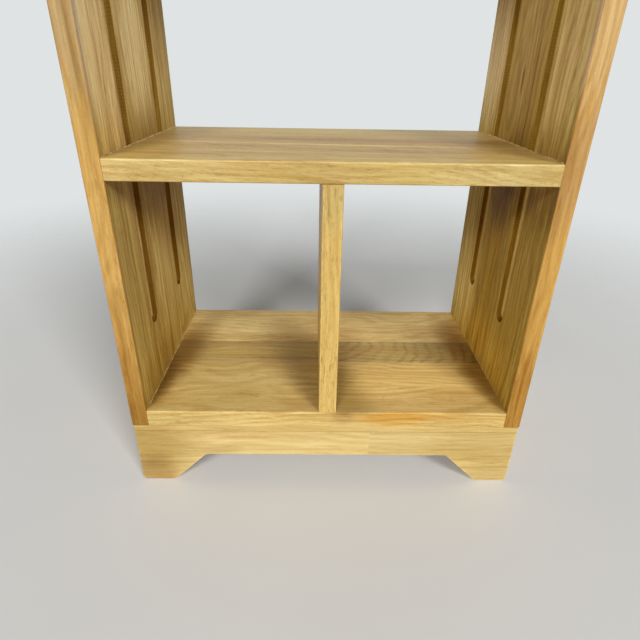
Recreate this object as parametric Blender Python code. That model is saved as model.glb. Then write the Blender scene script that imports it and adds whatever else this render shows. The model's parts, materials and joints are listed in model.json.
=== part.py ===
"""Open-backed bookcase of solid wood boards: slotted side panels on a bracket-foot plinth.

Metres, +Z up. The origin is on the floor under the middle of the case. X runs along the width,
Y from the front to the back, and Z up. Boards are dowelled together, and the case is screwed to
the plinth from below through four corner braces.
"""

import math

import bmesh
import bpy
from mathutils import Matrix

# Case: outer width and depth, the boards' thicknesses and the clear height of each bay
CASE_WIDTH = 0.405
CASE_DEPTH = 0.238
SIDE_THICKNESS = 0.017
SHELF_THICKNESS = 0.018
TOP_THICKNESS = 0.018
DIVIDER_THICKNESS = 0.018
BAY_HEIGHT = 0.231

# Slots through the side panels: width, wood left in front of and behind them, wood left at each end
SLOT_WIDTH = 0.018
SLOT_EDGE_MARGIN = 0.0585
SLOT_END_MARGIN = 0.087

# Plinth: height, board thickness, set-back from the case's sides, and the arch cut in its front
PLINTH_HEIGHT = 0.075
PLINTH_THICKNESS = 0.018
PLINTH_INSET = 0.001
FOOT_WIDTH = 0.0355
ARCH_HEIGHT = 0.036
ARCH_SLOPE_RUN = 0.0365
ARCH_TOP_RADIUS = 0.0055
FOOT_INNER_RADIUS = 0.007
FOOT_OUTER_RADIUS = 0.0035

# Corner braces in the plinth, and the countersunk screws that hold the case down on them
BRACE_LEG = 0.060
BRACE_THICKNESS = 0.025
SCREW_INSET = 0.022
SCREW_TO_DOWEL = 0.005
SCREW_DIAMETER = 0.004
SCREW_HEAD_DIAMETER = 0.008
SCREW_HEAD_HEIGHT = 0.0025
SCREW_TIP = 0.003
SCREW_BITE = 0.010

# Dowels: diameter, chamfer, length in the face of a board and in the end of a board
DOWEL_DIAMETER = 0.008
DOWEL_CHAMFER = 0.0008
DOWEL_FACE_BITE = 0.010
DOWEL_END_BITE = 0.020

# Clearances and easing
JOINT_GAP = 0.0003
HOLE_CLEARANCE = 0.0003
HOLE_DEPTH_CLEARANCE = 0.0005
EDGE_EASE = 0.0015
EASE_SEGMENTS = 2
ARC_STEPS = 8
ROUND_SIDES = 12
WELD_DISTANCE = 0.00001

# Places worked out from the sizes above
INNER_HALF_WIDTH = CASE_WIDTH / 2 - SIDE_THICKNESS
SIDE_CENTRE_X = CASE_WIDTH / 2 - SIDE_THICKNESS / 2
CASE_BOTTOM = PLINTH_HEIGHT + JOINT_GAP
SHELF_PITCH = BAY_HEIGHT + SHELF_THICKNESS
SHELF_NAMES = ("bottom_board", "middle_shelf", "upper_shelf")
SHELF_CENTRES = tuple(CASE_BOTTOM + SHELF_THICKNESS / 2 + i * SHELF_PITCH for i in range(3))
TOP_BOTTOM = SHELF_CENTRES[-1] + SHELF_THICKNESS / 2 + BAY_HEIGHT
SIDE_TOP = TOP_BOTTOM - JOINT_GAP
SLOT_CENTRE_Y = CASE_DEPTH / 2 - SLOT_EDGE_MARGIN - SLOT_WIDTH / 2
OUTER_DOWEL_Y = CASE_DEPTH / 2 - SLOT_EDGE_MARGIN / 2
DOWEL_ROWS = (("front", -OUTER_DOWEL_Y), ("centre", 0.0), ("back", OUTER_DOWEL_Y))
OUTER_ROWS = (DOWEL_ROWS[0], DOWEL_ROWS[2])
SIDES = (("left", -1), ("right", 1))
DEPTHS = (("front", -1), ("back", 1))
PLINTH_HALF_WIDTH = CASE_WIDTH / 2 - PLINTH_INSET
PLINTH_CENTRE_Y = CASE_DEPTH / 2 - PLINTH_THICKNESS / 2
PLINTH_CORNER_X = PLINTH_HALF_WIDTH - PLINTH_THICKNESS - JOINT_GAP
PLINTH_CORNER_Y = CASE_DEPTH / 2 - PLINTH_THICKNESS - JOINT_GAP
SCREW_X = PLINTH_CORNER_X - SCREW_INSET
SCREW_Y = OUTER_DOWEL_Y - DOWEL_DIAMETER / 2 - SCREW_TO_DOWEL - SCREW_DIAMETER / 2
SCREW_LENGTH = BRACE_THICKNESS + JOINT_GAP + SCREW_BITE

# Turns of a flat outline, drawn in X and Y, onto the plane it stands in
FACING_SIDEWAYS = Matrix(((0, 0, 1, 0), (1, 0, 0, 0), (0, 1, 0, 0), (0, 0, 0, 1)))
FACING_FORWARD = Matrix.Rotation(math.pi / 2, 4, "X")


def clear_scene():
    """Removes every object, so that the bookcase stands alone."""
    for obj in list(bpy.data.objects):
        bpy.data.objects.remove(obj, do_unlink=True)


def new_collection(name):
    """An empty collection in the scene."""
    collection = bpy.data.collections.new(name)
    bpy.context.scene.collection.children.link(collection)
    return collection


def new_material(name, colour, roughness, metallic=0.0):
    """A Principled material of one colour."""
    material = bpy.data.materials.new(name)
    material.use_nodes = True
    shader = material.node_tree.nodes["Principled BSDF"]
    shader.inputs["Base Color"].default_value = (*colour, 1.0)
    shader.inputs["Roughness"].default_value = roughness
    shader.inputs["Metallic"].default_value = metallic
    material.diffuse_color = (*colour, 1.0)
    return material


def place(name, mesh, matrix, material):
    """Puts a finished mesh into the bookcase's collection as one named piece."""
    obj = bpy.data.objects.new(name, mesh)
    obj.matrix_world = matrix
    mesh.materials.append(material)
    PARTS.objects.link(obj)
    return obj


def drill(board, holes):
    """Cuts the holes, given as (name, mesh, matrix), out of a board."""
    for name, mesh, matrix in holes:
        cutter = bpy.data.objects.new(f"{board.name}_{name}", mesh)
        cutter.matrix_world = matrix
        cutter.hide_render = True
        cutter.display_type = "WIRE"
        CUTTERS.objects.link(cutter)
        cut = board.modifiers.new(cutter.name, "BOOLEAN")
        cut.operation = "DIFFERENCE"
        cut.solver = "EXACT"
        cut.object = cutter


def ease(bm, edges):
    """Rounds the given edges over."""
    bmesh.ops.bevel(
        bm, geom=edges, offset=EDGE_EASE, segments=EASE_SEGMENTS, profile=0.5, affect="EDGES", material=-1
    )


def plank_mesh(name, size, eased_axes):
    """A rectangular board round the origin, with the edges that run along the given axes eased."""
    bm = bmesh.new()
    bmesh.ops.create_cube(bm, size=1.0, matrix=Matrix.Diagonal((*size, 1.0)))
    eased = []
    for edge in bm.edges:
        along = edge.verts[1].co - edge.verts[0].co
        if max(range(3), key=lambda axis: abs(along[axis])) in eased_axes:
            eased.append(edge)
    ease(bm, eased)
    mesh = bpy.data.meshes.new(name)
    bm.to_mesh(mesh)
    bm.free()
    return mesh


def flat_mesh(name, outlines, thickness):
    """A flat piece with its outline in X and Y; outlines after the first are holes through it."""
    curve = bpy.data.curves.new(f"{name}_outline", "CURVE")
    curve.dimensions = "2D"
    curve.fill_mode = "BOTH"
    curve.extrude = thickness / 2
    for outline in outlines:
        spline = curve.splines.new("POLY")
        spline.points.add(len(outline) - 1)
        spline.use_cyclic_u = True
        for point, (x, y) in zip(spline.points, outline):
            point.co = (x, y, 0.0, 1.0)
    outline_object = bpy.data.objects.new(curve.name, curve)
    bpy.context.scene.collection.objects.link(outline_object)
    graph = bpy.context.evaluated_depsgraph_get()
    mesh = bpy.data.meshes.new_from_object(outline_object.evaluated_get(graph))
    mesh.name = name
    bpy.data.objects.remove(outline_object, do_unlink=True)
    bm = bmesh.new()
    bm.from_mesh(mesh)
    bmesh.ops.remove_doubles(bm, verts=bm.verts, dist=WELD_DISTANCE)
    bmesh.ops.recalc_face_normals(bm, faces=bm.faces)
    bm.to_mesh(mesh)
    bm.free()
    return mesh


def ease_rims(mesh, sharp_heights):
    """Eases the rims of a flat piece's two faces, except those that lie at the given heights of Y."""
    bm = bmesh.new()
    bm.from_mesh(mesh)
    rims = []
    for edge in bm.edges:
        first, second = (vert.co for vert in edge.verts)
        on_one_face = abs(first.z - second.z) < WELD_DISTANCE
        sharp = any(
            abs(first.y - height) < WELD_DISTANCE and abs(second.y - height) < WELD_DISTANCE
            for height in sharp_heights
        )
        if on_one_face and not sharp and edge.calc_face_angle() > math.radians(60):
            rims.append(edge)
    ease(bm, rims)
    bm.to_mesh(mesh)
    bm.free()


def round_mesh(name, profile):
    """A round piece on the Z axis; the profile's (radius, height) points run from its top to its bottom."""
    bm = bmesh.new()
    verts = [bm.verts.new((radius, 0.0, height)) for radius, height in profile]
    edges = [bm.edges.new(pair) for pair in zip(verts, verts[1:])]
    bmesh.ops.spin(
        bm,
        geom=verts + edges,
        cent=(0.0, 0.0, 0.0),
        axis=(0.0, 0.0, 1.0),
        angle=math.tau,
        steps=ROUND_SIDES,
        use_merge=True,
    )
    bmesh.ops.remove_doubles(bm, verts=bm.verts, dist=WELD_DISTANCE)
    bmesh.ops.recalc_face_normals(bm, faces=bm.faces)
    mesh = bpy.data.meshes.new(name)
    bm.to_mesh(mesh)
    bm.free()
    mesh.shade_smooth()
    mesh.set_sharp_from_angle(angle=math.radians(35))
    return mesh


def rounded_outline(corners):
    """The closed outline through (x, y, radius) corners, each corner turned as an arc of its radius."""
    points = []
    for i, (x, y, radius) in enumerate(corners):
        if radius == 0:
            points.append((x, y))
            continue
        before, after = corners[i - 1], corners[(i + 1) % len(corners)]
        heading_in = math.atan2(y - before[1], x - before[0])
        heading_out = math.atan2(after[1] - y, after[0] - x)
        turn = math.remainder(heading_out - heading_in, math.tau)
        setback = radius * math.tan(abs(turn) / 2)
        start = (x - setback * math.cos(heading_in), y - setback * math.sin(heading_in))
        inward = heading_in + math.copysign(math.pi / 2, turn)
        centre = (start[0] + radius * math.cos(inward), start[1] + radius * math.sin(inward))
        for step in range(ARC_STEPS + 1):
            angle = inward + math.pi + turn * step / ARC_STEPS
            points.append((centre[0] + radius * math.cos(angle), centre[1] + radius * math.sin(angle)))
    return points


def slot_outline(centre, low, high):
    """An upright slot with full-round ends."""
    left, right = centre - SLOT_WIDTH / 2, centre + SLOT_WIDTH / 2
    radius = SLOT_WIDTH / 2
    middle = (low + high) / 2
    return rounded_outline(
        [
            (left, middle, 0),
            (left, low, radius),
            (right, low, radius),
            (right, middle, 0),
            (right, high, radius),
            (left, high, radius),
        ]
    )


def dowel_mesh():
    """A chamfered dowel along Z, crossing the joint at Z = 0: down into an end, up into a face."""
    radius = DOWEL_DIAMETER / 2
    rim = radius - DOWEL_CHAMFER
    top = DOWEL_FACE_BITE
    bottom = -DOWEL_END_BITE
    profile = [
        (0.0, top),
        (rim, top),
        (radius, top - DOWEL_CHAMFER),
        (radius, bottom + DOWEL_CHAMFER),
        (rim, bottom),
        (0.0, bottom),
    ]
    return round_mesh("dowel", profile)


def dowel_hole_mesh():
    """The cutter for both halves of a dowel's hole."""
    radius = DOWEL_DIAMETER / 2 + HOLE_CLEARANCE
    top = DOWEL_FACE_BITE + HOLE_DEPTH_CLEARANCE
    bottom = -DOWEL_END_BITE - HOLE_DEPTH_CLEARANCE
    return round_mesh("dowel_hole", [(0.0, top), (radius, top), (radius, bottom), (0.0, bottom)])


def screw_mesh():
    """A countersunk screw along Z, pointing up, with its head's flat at Z = 0."""
    shank = SCREW_DIAMETER / 2
    head = SCREW_HEAD_DIAMETER / 2
    profile = [
        (0.0, SCREW_LENGTH),
        (shank, SCREW_LENGTH - SCREW_TIP),
        (shank, SCREW_HEAD_HEIGHT),
        (head, 0.0),
        (0.0, 0.0),
    ]
    return round_mesh("brace_screw", profile)


def screw_hole_mesh():
    """The cutter for a screw's countersunk hole, which starts below the head's flat."""
    shank = SCREW_DIAMETER / 2 + HOLE_CLEARANCE
    head = SCREW_HEAD_DIAMETER / 2 + HOLE_CLEARANCE
    end = SCREW_LENGTH + HOLE_DEPTH_CLEARANCE
    profile = [
        (0.0, end),
        (shank, end - SCREW_TIP),
        (shank, SCREW_HEAD_HEIGHT),
        (head, 0.0),
        (head, -HOLE_DEPTH_CLEARANCE),
        (0.0, -HOLE_DEPTH_CLEARANCE),
    ]
    return round_mesh("screw_hole", profile)


def make_side_panels(holes):
    """The two upright panels, each with two long slots, standing on the plinth."""
    half = CASE_DEPTH / 2
    slot_low = CASE_BOTTOM + SLOT_END_MARGIN
    slot_high = SIDE_TOP - SLOT_END_MARGIN
    outline = [(-half, CASE_BOTTOM), (half, CASE_BOTTOM), (half, SIDE_TOP), (-half, SIDE_TOP)]
    slots = [slot_outline(sign * SLOT_CENTRE_Y, slot_low, slot_high) for _, sign in DEPTHS]
    for side, sign in SIDES:
        name = f"{side}_side_panel"
        mesh = flat_mesh(name, [outline, *slots], SIDE_THICKNESS)
        ease_rims(mesh, (CASE_BOTTOM, SIDE_TOP))
        matrix = Matrix.Translation((sign * SIDE_CENTRE_X, 0.0, 0.0)) @ FACING_SIDEWAYS
        drill(place(name, mesh, matrix, SIDE_WOOD), holes[name])


def make_shelves(holes):
    """The bottom board and the fixed shelves, all between the side panels."""
    size = (2 * (INNER_HALF_WIDTH - JOINT_GAP), CASE_DEPTH, SHELF_THICKNESS)
    for name, height in zip(SHELF_NAMES, SHELF_CENTRES):
        mesh = plank_mesh(name, size, eased_axes=(0,))
        matrix = Matrix.Translation((0.0, 0.0, height))
        drill(place(name, mesh, matrix, SHELF_WOOD), holes[name])


def make_top_board(holes):
    """The board across the tops of both side panels."""
    size = (CASE_WIDTH, CASE_DEPTH, TOP_THICKNESS)
    mesh = plank_mesh("top_board", size, eased_axes=(0, 1, 2))
    matrix = Matrix.Translation((0.0, 0.0, TOP_BOTTOM + TOP_THICKNESS / 2))
    drill(place("top_board", mesh, matrix, SHELF_WOOD), holes["top_board"])


def make_divider(holes):
    """The upright board that halves the lowest bay."""
    size = (DIVIDER_THICKNESS, CASE_DEPTH, BAY_HEIGHT - 2 * JOINT_GAP)
    mesh = plank_mesh("divider", size, eased_axes=(2,))
    matrix = Matrix.Translation((0.0, 0.0, SHELF_CENTRES[0] + SHELF_PITCH / 2))
    drill(place("divider", mesh, matrix, DIVIDER_WOOD), holes["divider"])


def make_plinth():
    """The plinth frame: an arched front, a plain back and two plain sides between them."""
    half = PLINTH_HALF_WIDTH
    foot = half - FOOT_WIDTH
    arch = foot - ARCH_SLOPE_RUN
    arched = rounded_outline(
        [
            (-half, 0.0, FOOT_OUTER_RADIUS),
            (-foot, 0.0, FOOT_INNER_RADIUS),
            (-arch, ARCH_HEIGHT, ARCH_TOP_RADIUS),
            (arch, ARCH_HEIGHT, ARCH_TOP_RADIUS),
            (foot, 0.0, FOOT_INNER_RADIUS),
            (half, 0.0, FOOT_OUTER_RADIUS),
            (half, PLINTH_HEIGHT, 0),
            (-half, PLINTH_HEIGHT, 0),
        ]
    )
    front = flat_mesh("plinth_front", [arched], PLINTH_THICKNESS)
    ease_rims(front, (PLINTH_HEIGHT,))
    stand = Matrix.Translation((0.0, -PLINTH_CENTRE_Y, 0.0)) @ FACING_FORWARD
    place("plinth_front", front, stand, PLINTH_WOOD)
    back = plank_mesh("plinth_back", (2 * half, PLINTH_THICKNESS, PLINTH_HEIGHT), eased_axes=(2,))
    middle = PLINTH_HEIGHT / 2
    place("plinth_back", back, Matrix.Translation((0.0, PLINTH_CENTRE_Y, middle)), PLINTH_WOOD)
    for side, sign in SIDES:
        name = f"plinth_{side}"
        mesh = plank_mesh(name, (PLINTH_THICKNESS, 2 * PLINTH_CORNER_Y, PLINTH_HEIGHT), eased_axes=(1,))
        centre_x = sign * (half - PLINTH_THICKNESS / 2)
        place(name, mesh, Matrix.Translation((centre_x, 0.0, middle)), PLINTH_WOOD)


def make_braces():
    """Triangular braces in the plinth's corners, each with its screw up into the bottom board."""
    bottom = PLINTH_HEIGHT - BRACE_THICKNESS
    for depth, toward_y in DEPTHS:
        for side, toward_x in SIDES:
            corner = (toward_x * PLINTH_CORNER_X, toward_y * PLINTH_CORNER_Y)
            along_x = (corner[0] - toward_x * BRACE_LEG, corner[1])
            along_y = (corner[0], corner[1] - toward_y * BRACE_LEG)
            name = f"corner_brace_{depth}_{side}"
            mesh = flat_mesh(name, [[corner, along_x, along_y]], BRACE_THICKNESS)
            level = Matrix.Translation((0.0, 0.0, bottom + BRACE_THICKNESS / 2))
            brace = place(name, mesh, level, BRACE_WOOD)
            where = Matrix.Translation((toward_x * SCREW_X, toward_y * SCREW_Y, bottom))
            hole = screw_hole_mesh()
            drill(brace, [("screw_hole", hole, where)])
            drill(bpy.data.objects["bottom_board"], [(f"screw_hole_{depth}_{side}", hole, where)])
            place(f"brace_screw_{depth}_{side}", screw_mesh(), where, STEEL)


def dowel_joints():
    """Every dowel as (name, matrix, the board drilled in its face, the board drilled in its end)."""
    joints = []
    for side, sign in SIDES:
        for row, y in DOWEL_ROWS:
            for shelf, height in zip(SHELF_NAMES, SHELF_CENTRES):
                matrix = Matrix.Translation((sign * INNER_HALF_WIDTH, y, height))
                turned = matrix @ Matrix.Rotation(sign * math.pi / 2, 4, "Y")
                joints.append((f"{shelf}_dowel_{side}_{row}", turned, f"{side}_side_panel", shelf))
            upward = Matrix.Translation((sign * SIDE_CENTRE_X, y, TOP_BOTTOM))
            joints.append((f"top_board_dowel_{side}_{row}", upward, "top_board", f"{side}_side_panel"))
    upside_down = Matrix.Rotation(math.pi, 4, "X")
    for row, y in OUTER_ROWS:
        above = Matrix.Translation((0.0, y, SHELF_CENTRES[1] - SHELF_THICKNESS / 2))
        below = Matrix.Translation((0.0, y, SHELF_CENTRES[0] + SHELF_THICKNESS / 2)) @ upside_down
        joints.append((f"divider_dowel_upper_{row}", above, "middle_shelf", "divider"))
        joints.append((f"divider_dowel_lower_{row}", below, "bottom_board", "divider"))
    return joints


def make_dowels(joints):
    """The dowels themselves."""
    for name, matrix, _, _ in joints:
        place(name, dowel_mesh(), matrix, DOWEL_WOOD)


def holes_by_board(joints):
    """The dowel holes that each board needs, as (name, mesh, matrix)."""
    holes = {}
    for name, matrix, face_board, end_board in joints:
        for board in (face_board, end_board):
            holes.setdefault(board, []).append((name, dowel_hole_mesh(), matrix))
    return holes


clear_scene()
PARTS = new_collection("bookcase")
CUTTERS = new_collection("cutters")
SIDE_WOOD = new_material("side_wood", (0.64, 0.40, 0.16), 0.45)
SHELF_WOOD = new_material("shelf_wood", (0.60, 0.42, 0.19), 0.45)
DIVIDER_WOOD = new_material("divider_wood", (0.62, 0.44, 0.19), 0.45)
PLINTH_WOOD = new_material("plinth_wood", (0.66, 0.47, 0.19), 0.45)
BRACE_WOOD = new_material("brace_wood", (0.56, 0.40, 0.20), 0.6)
DOWEL_WOOD = new_material("dowel_wood", (0.68, 0.52, 0.30), 0.6)
STEEL = new_material("screw_steel", (0.70, 0.68, 0.62), 0.35, metallic=1.0)

DOWELS = dowel_joints()
HOLES = holes_by_board(DOWELS)
make_side_panels(HOLES)
make_shelves(HOLES)
make_top_board(HOLES)
make_divider(HOLES)
make_plinth()
make_braces()
make_dowels(DOWELS)
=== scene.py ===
"""Looks of the open-backed bookcase: glued-up boards, dowelled together, on a bracket-foot plinth.

Each board is modelled again where its solid stands, with rounder eased edges, and is cut into the
staves that its finish shows. Dowels, braces and screws keep their solids and get finishes.
Metres, +Z up, X along the width, Y from the front to the back.
"""

import json
import logging
import math
import random
from dataclasses import dataclass, field, replace
from enum import Enum

import bmesh
import bpy
from mathutils import Matrix, Vector

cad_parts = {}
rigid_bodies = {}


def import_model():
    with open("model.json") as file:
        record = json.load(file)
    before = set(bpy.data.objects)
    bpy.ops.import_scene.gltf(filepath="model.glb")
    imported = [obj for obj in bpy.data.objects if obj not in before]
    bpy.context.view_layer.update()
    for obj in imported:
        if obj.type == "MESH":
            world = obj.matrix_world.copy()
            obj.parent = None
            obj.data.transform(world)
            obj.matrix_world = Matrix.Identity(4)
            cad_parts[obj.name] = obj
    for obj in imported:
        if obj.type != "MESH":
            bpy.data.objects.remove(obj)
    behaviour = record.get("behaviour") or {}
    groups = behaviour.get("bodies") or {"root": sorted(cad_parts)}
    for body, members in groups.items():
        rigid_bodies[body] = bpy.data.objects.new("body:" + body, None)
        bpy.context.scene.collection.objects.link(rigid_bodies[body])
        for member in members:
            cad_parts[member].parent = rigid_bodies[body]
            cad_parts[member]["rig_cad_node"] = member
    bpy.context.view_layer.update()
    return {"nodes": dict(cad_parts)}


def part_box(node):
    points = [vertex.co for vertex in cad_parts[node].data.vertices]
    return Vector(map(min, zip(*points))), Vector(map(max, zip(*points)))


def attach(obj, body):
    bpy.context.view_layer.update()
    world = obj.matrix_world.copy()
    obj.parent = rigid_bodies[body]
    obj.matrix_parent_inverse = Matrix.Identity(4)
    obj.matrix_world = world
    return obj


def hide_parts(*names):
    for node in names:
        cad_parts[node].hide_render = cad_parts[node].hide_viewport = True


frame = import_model()

LOG = logging.getLogger("bookcase")
BODY = "root"

Pair = tuple[float, float]
Triple = tuple[float, float, float]
Colour = Triple
Mesh = bmesh.types.BMesh
Vert = bmesh.types.BMVert
Edge = bmesh.types.BMEdge
Facet = bmesh.types.BMFace
Piece = bpy.types.Object
Socket = bpy.types.NodeSocket
Value = Socket | float | Triple

ORIGIN: Triple = (0.0, 0.0, 0.0)
JOINT_GAP = 0.0003
EDGE_EASE = 0.0015
GLUE_LINE = 0.0006
WELD = 0.00001

EASE_SEGMENTS = 4
ARC_STEPS = 10
BORE_STEPS = 24
FLOOR_STEPS = 96
SMOOTH_ANGLE = math.radians(40)
RIM_ANGLE = math.radians(60)

# How nearly an edge has to run along an axis, or a face look along it, as a cosine.
RUNS_ALONG = 0.999
LOOKS_ALONG = 0.7


class Axis(Enum):
    """A direction along the frame's own axes."""

    X = 0
    Y = 1
    Z = 2

    def unit(self) -> Vector:
        """The axis as a vector of length one."""
        return Vector([float(self.value == i) for i in range(3)])


class Mark(Enum):
    """What the boards' faces carry for their finish, as named values on the mesh."""

    CUT = "stave_cut"
    TONE = "stave_tone"
    BLUSH = "stave_blush"
    CURL = "stave_curl"
    SLANT = "stave_slant"
    GLUE = "glue_line"
    EASED = "eased_edge"
    ROUTED = "routed_wall"
    END = "end_grain"
    EDGE = "board_edge"


class Fastener(Enum):
    """A kind of fastener, by a word in its nodes' names, with the width of the hole that it needs."""

    DOWEL = ("dowel", 0.0086)
    SCREW = ("screw", 0.0046)

    def __init__(self, word: str, hole: float) -> None:
        """Keeps the word and the hole's width under names."""
        self.word = word
        self.hole = hole


def linear(red: int, green: int, blue: int) -> Colour:
    """Turns a display colour into the linear values that shaders take.

    Args:
        red: the red share, from 0 to 255.
        green: the green share.
        blue: the blue share.

    Returns:
        The three linear values, from 0 to 1.
    """
    shares = [value / 255 for value in (red, green, blue)]
    return tuple(s / 12.92 if s <= 0.04045 else ((s + 0.055) / 1.055) ** 2.4 for s in shares)


class NodeSheet:
    """A node tree, with short calls for the nodes that the finishes and the light share."""

    def __init__(self, tree: bpy.types.NodeTree) -> None:
        """Takes the tree to work on."""
        self.tree = tree

    def put(self, socket: Socket, value: Value) -> None:
        """Links a socket to another one, or sets it to a plain value.

        Args:
            socket: the socket to fill.
            value: the other socket, or a number, a vector or a colour.
        """
        if isinstance(value, Socket):
            self.tree.links.new(value, socket)
        elif socket.type == "RGBA":
            socket.default_value = (*value, 1.0)
        else:
            socket.default_value = value

    def math(self, operation: str, *values: Value) -> Socket:
        """A sum of numbers.

        Args:
            operation: the Math node's operation.
            values: the numbers or sockets that it takes.

        Returns:
            The result's socket.
        """
        node = self.tree.nodes.new("ShaderNodeMath")
        node.operation = operation
        for socket, value in zip(node.inputs, values):
            self.put(socket, value)
        return node.outputs["Value"]

    def vector(self, operation: str, first: Value, second: Value = ORIGIN) -> Socket:
        """A sum of two vectors, a vector times a number, or a vector's length.

        Args:
            operation: the Vector Math node's operation.
            first: the first vector.
            second: the second vector, or the number for SCALE.

        Returns:
            The result's socket.
        """
        node = self.tree.nodes.new("ShaderNodeVectorMath")
        node.operation = operation
        self.put(node.inputs[0], first)
        self.put(node.inputs["Scale" if operation == "SCALE" else 1], second)
        return node.outputs["Value" if operation in ("LENGTH", "DOT_PRODUCT") else "Vector"]

    def along(self, where: Socket, axis: Axis) -> Socket:
        """How far a place lies along an axis."""
        return self.vector("DOT_PRODUCT", where, tuple(axis.unit()))

    def noise(self, where: Socket, stretch: Triple, detail: float = 2.0, roughness: float = 0.5) -> Socket:
        """Soft random blotches, stretched along the axes.

        Args:
            where: the place to read.
            stretch: blotches for each metre along X, Y and Z.
            detail: how many finer layers are added.
            roughness: how strong the finer layers are.

        Returns:
            The socket of a value around 0.5.
        """
        node = self.tree.nodes.new("ShaderNodeTexNoise")
        self.put(node.inputs["Vector"], self.vector("MULTIPLY", where, stretch))
        for name, value in (("Scale", 1.0), ("Detail", detail), ("Roughness", roughness)):
            self.put(node.inputs[name], value)
        return node.outputs["Fac"]

    def spread(self, value: Value, low: float, high: float, start: float = 0.0, end: float = 1.0) -> Socket:
        """Maps low to high smoothly onto start to end.

        Args:
            value: the value to map.
            low: what becomes start.
            high: what becomes end.
            start: the result at low and below.
            end: the result at high and above.

        Returns:
            The result's socket.
        """
        node = self.tree.nodes.new("ShaderNodeMapRange")
        node.interpolation_type = "SMOOTHSTEP"
        for socket, number in zip(node.inputs, (value, low, high, start, end)):
            self.put(socket, number)
        return node.outputs["Result"]

    def blend(self, share: Value, first: Value, second: Value, mode: str = "MIX") -> Socket:
        """Mixes two colours.

        Args:
            share: how much of the second colour there is, from 0 to 1.
            first: the first colour.
            second: the second colour.
            mode: the Mix node's way of mixing.

        Returns:
            The colour's socket.
        """
        node = self.tree.nodes.new("ShaderNodeMix")
        node.data_type = "RGBA"
        node.blend_type = mode
        colours = [socket for socket in node.inputs if socket.type == "RGBA"]
        self.put(node.inputs["Factor"], share)
        self.put(colours[0], first)
        self.put(colours[1], second)
        return next(socket for socket in node.outputs if socket.type == "RGBA")

    def total(self, start: Value, *parts: tuple[Socket, float]) -> Socket:
        """Adds patterns to a value, each times its share.

        Args:
            start: the value to begin with.
            parts: the patterns, each with its share.

        Returns:
            The result's socket.
        """
        for pattern, share in parts:
            start = self.math("MULTIPLY_ADD", pattern, share, start)
        return start

    def mixture(self, *parts: tuple[Socket, float]) -> Socket:
        """Adds up patterns that lie around 0.5, so that the result does too."""
        return self.total(0.5 - 0.5 * sum(share for _, share in parts), *parts)


class FinishSheet(NodeSheet):
    """The node tree of one material, round a Principled shader, with the place on the piece in metres."""

    def __init__(self, name: str) -> None:
        """Starts a material.

        Args:
            name: the material's name.
        """
        self.material = bpy.data.materials.new(name)
        self.material.use_nodes = True
        super().__init__(self.material.node_tree)
        self.shader = self.tree.nodes["Principled BSDF"]
        self.place = self.tree.nodes.new("ShaderNodeTexCoord").outputs["Object"]

    def set(self, name: str, value: Value) -> None:
        """Sets or links one of the shader's own sockets."""
        self.put(self.shader.inputs[name], value)

    def mark(self, mark: Mark, output: str = "Fac") -> Socket:
        """One of the values that the piece's faces carry.

        Args:
            mark: which of them.
            output: the node's output, Vector for a shift.

        Returns:
            The value's socket.
        """
        node = self.tree.nodes.new("ShaderNodeAttribute")
        node.attribute_name = mark.value
        return node.outputs[output]

    def bump(self, height: Socket, strength: float, distance: float) -> None:
        """Gives the shader's normal a relief.

        Args:
            height: the relief, from 0 to 1.
            strength: how strongly it shows.
            distance: the relief's depth in metres.
        """
        node = self.tree.nodes.new("ShaderNodeBump")
        self.put(node.inputs["Strength"], strength)
        self.put(node.inputs["Distance"], distance)
        self.put(node.inputs["Height"], height)
        self.set("Normal", node.outputs["Normal"])


@dataclass(frozen=True)
class TintPatch:
    """A soft-edged patch where the wood's colour differs: real stains, and painted light and shade.

    It runs forward by its lean for each metre along the grain. Its soft edge is frayed along the grain,
    as far as its raggedness says.
    """

    centre: Triple
    reach: Triple
    tint: Colour
    strength: float = 1.0
    lean: float = 0.0
    soft: float = 1.0
    ragged: float = 0.9


@dataclass(frozen=True)
class Face:
    """One flat side of a board, with how far the patches on it go into the wood."""

    axis: Axis
    at: float
    depth: float

    @classmethod
    def of(cls, node: str, axis: Axis, high: bool, depth: float) -> "Face":
        """One of the six sides of a CAD node's box.

        Args:
            node: the node's name.
            axis: the axis that the side is square to.
            high: whether it is the side further along that axis.
            depth: how far its stains go into the wood.

        Returns:
            The side.
        """
        return cls(axis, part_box(node)[int(high)][axis.value], depth)

    def tint_patch(self, place: Pair, reach: Pair, tint: Colour, strength: float = 1.0, **edge: float) -> TintPatch:
        """A patch on this side.

        Args:
            place: its middle, on the other two axes.
            reach: how far it goes along them.
            tint: what the wood's colour is multiplied by.
            strength: how much of the tint shows in its middle.
            edge: the patch's lean, softness and raggedness.

        Returns:
            The patch.
        """
        centre, reaches = list(place), list(reach)
        centre.insert(self.axis.value, self.at)
        reaches.insert(self.axis.value, self.depth)
        return TintPatch(tuple(centre), tuple(reaches), tint, strength, **edge)


# Shares of the patterns in the wood's figure.
BAND_SHARE = 0.9
STREAK_SHARE = 0.8
FIBRE_SHARE = 0.6
SPECKLE_SHARE = 0.35
CURL_SHARE = 0.80

# Lengths in the figure: between a knot's arcs, between the cutter's ripples, and how far rings wander.
ARC_SPACING = 0.0145
RIPPLE_SPACING = 0.0029
RING_WANDER = 0.050

# Tints of glue lines, pores and end grain.
GLUE_TINT = (0.66, 0.52, 0.34)
PORE_TINT = (0.66, 0.56, 0.42)
END_TINT = (0.80, 0.72, 0.60)

# The slots' walls: browned with faint ripples by the cutter and darkened by painted shade, painted lighter
# above the shelf, and painted lighter again past a depth, where light comes through the slot.
SCORCH_AND_SHADE_PALE = (0.53, 0.38, 0.13)
SCORCH_AND_SHADE_DEEP = (0.33, 0.20, 0.04)
SLOT_LIGHT_ABOVE_SHELF = (1.26, 1.50, 2.80)
SLOT_LIGHT_FADE = (0.31, 0.37)
SLOT_LIGHT_DEEP_WALL = (1.15, 1.06, 1.60)
SLOT_LIGHT_DEPTH = (0.0046, 0.0062)
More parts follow.
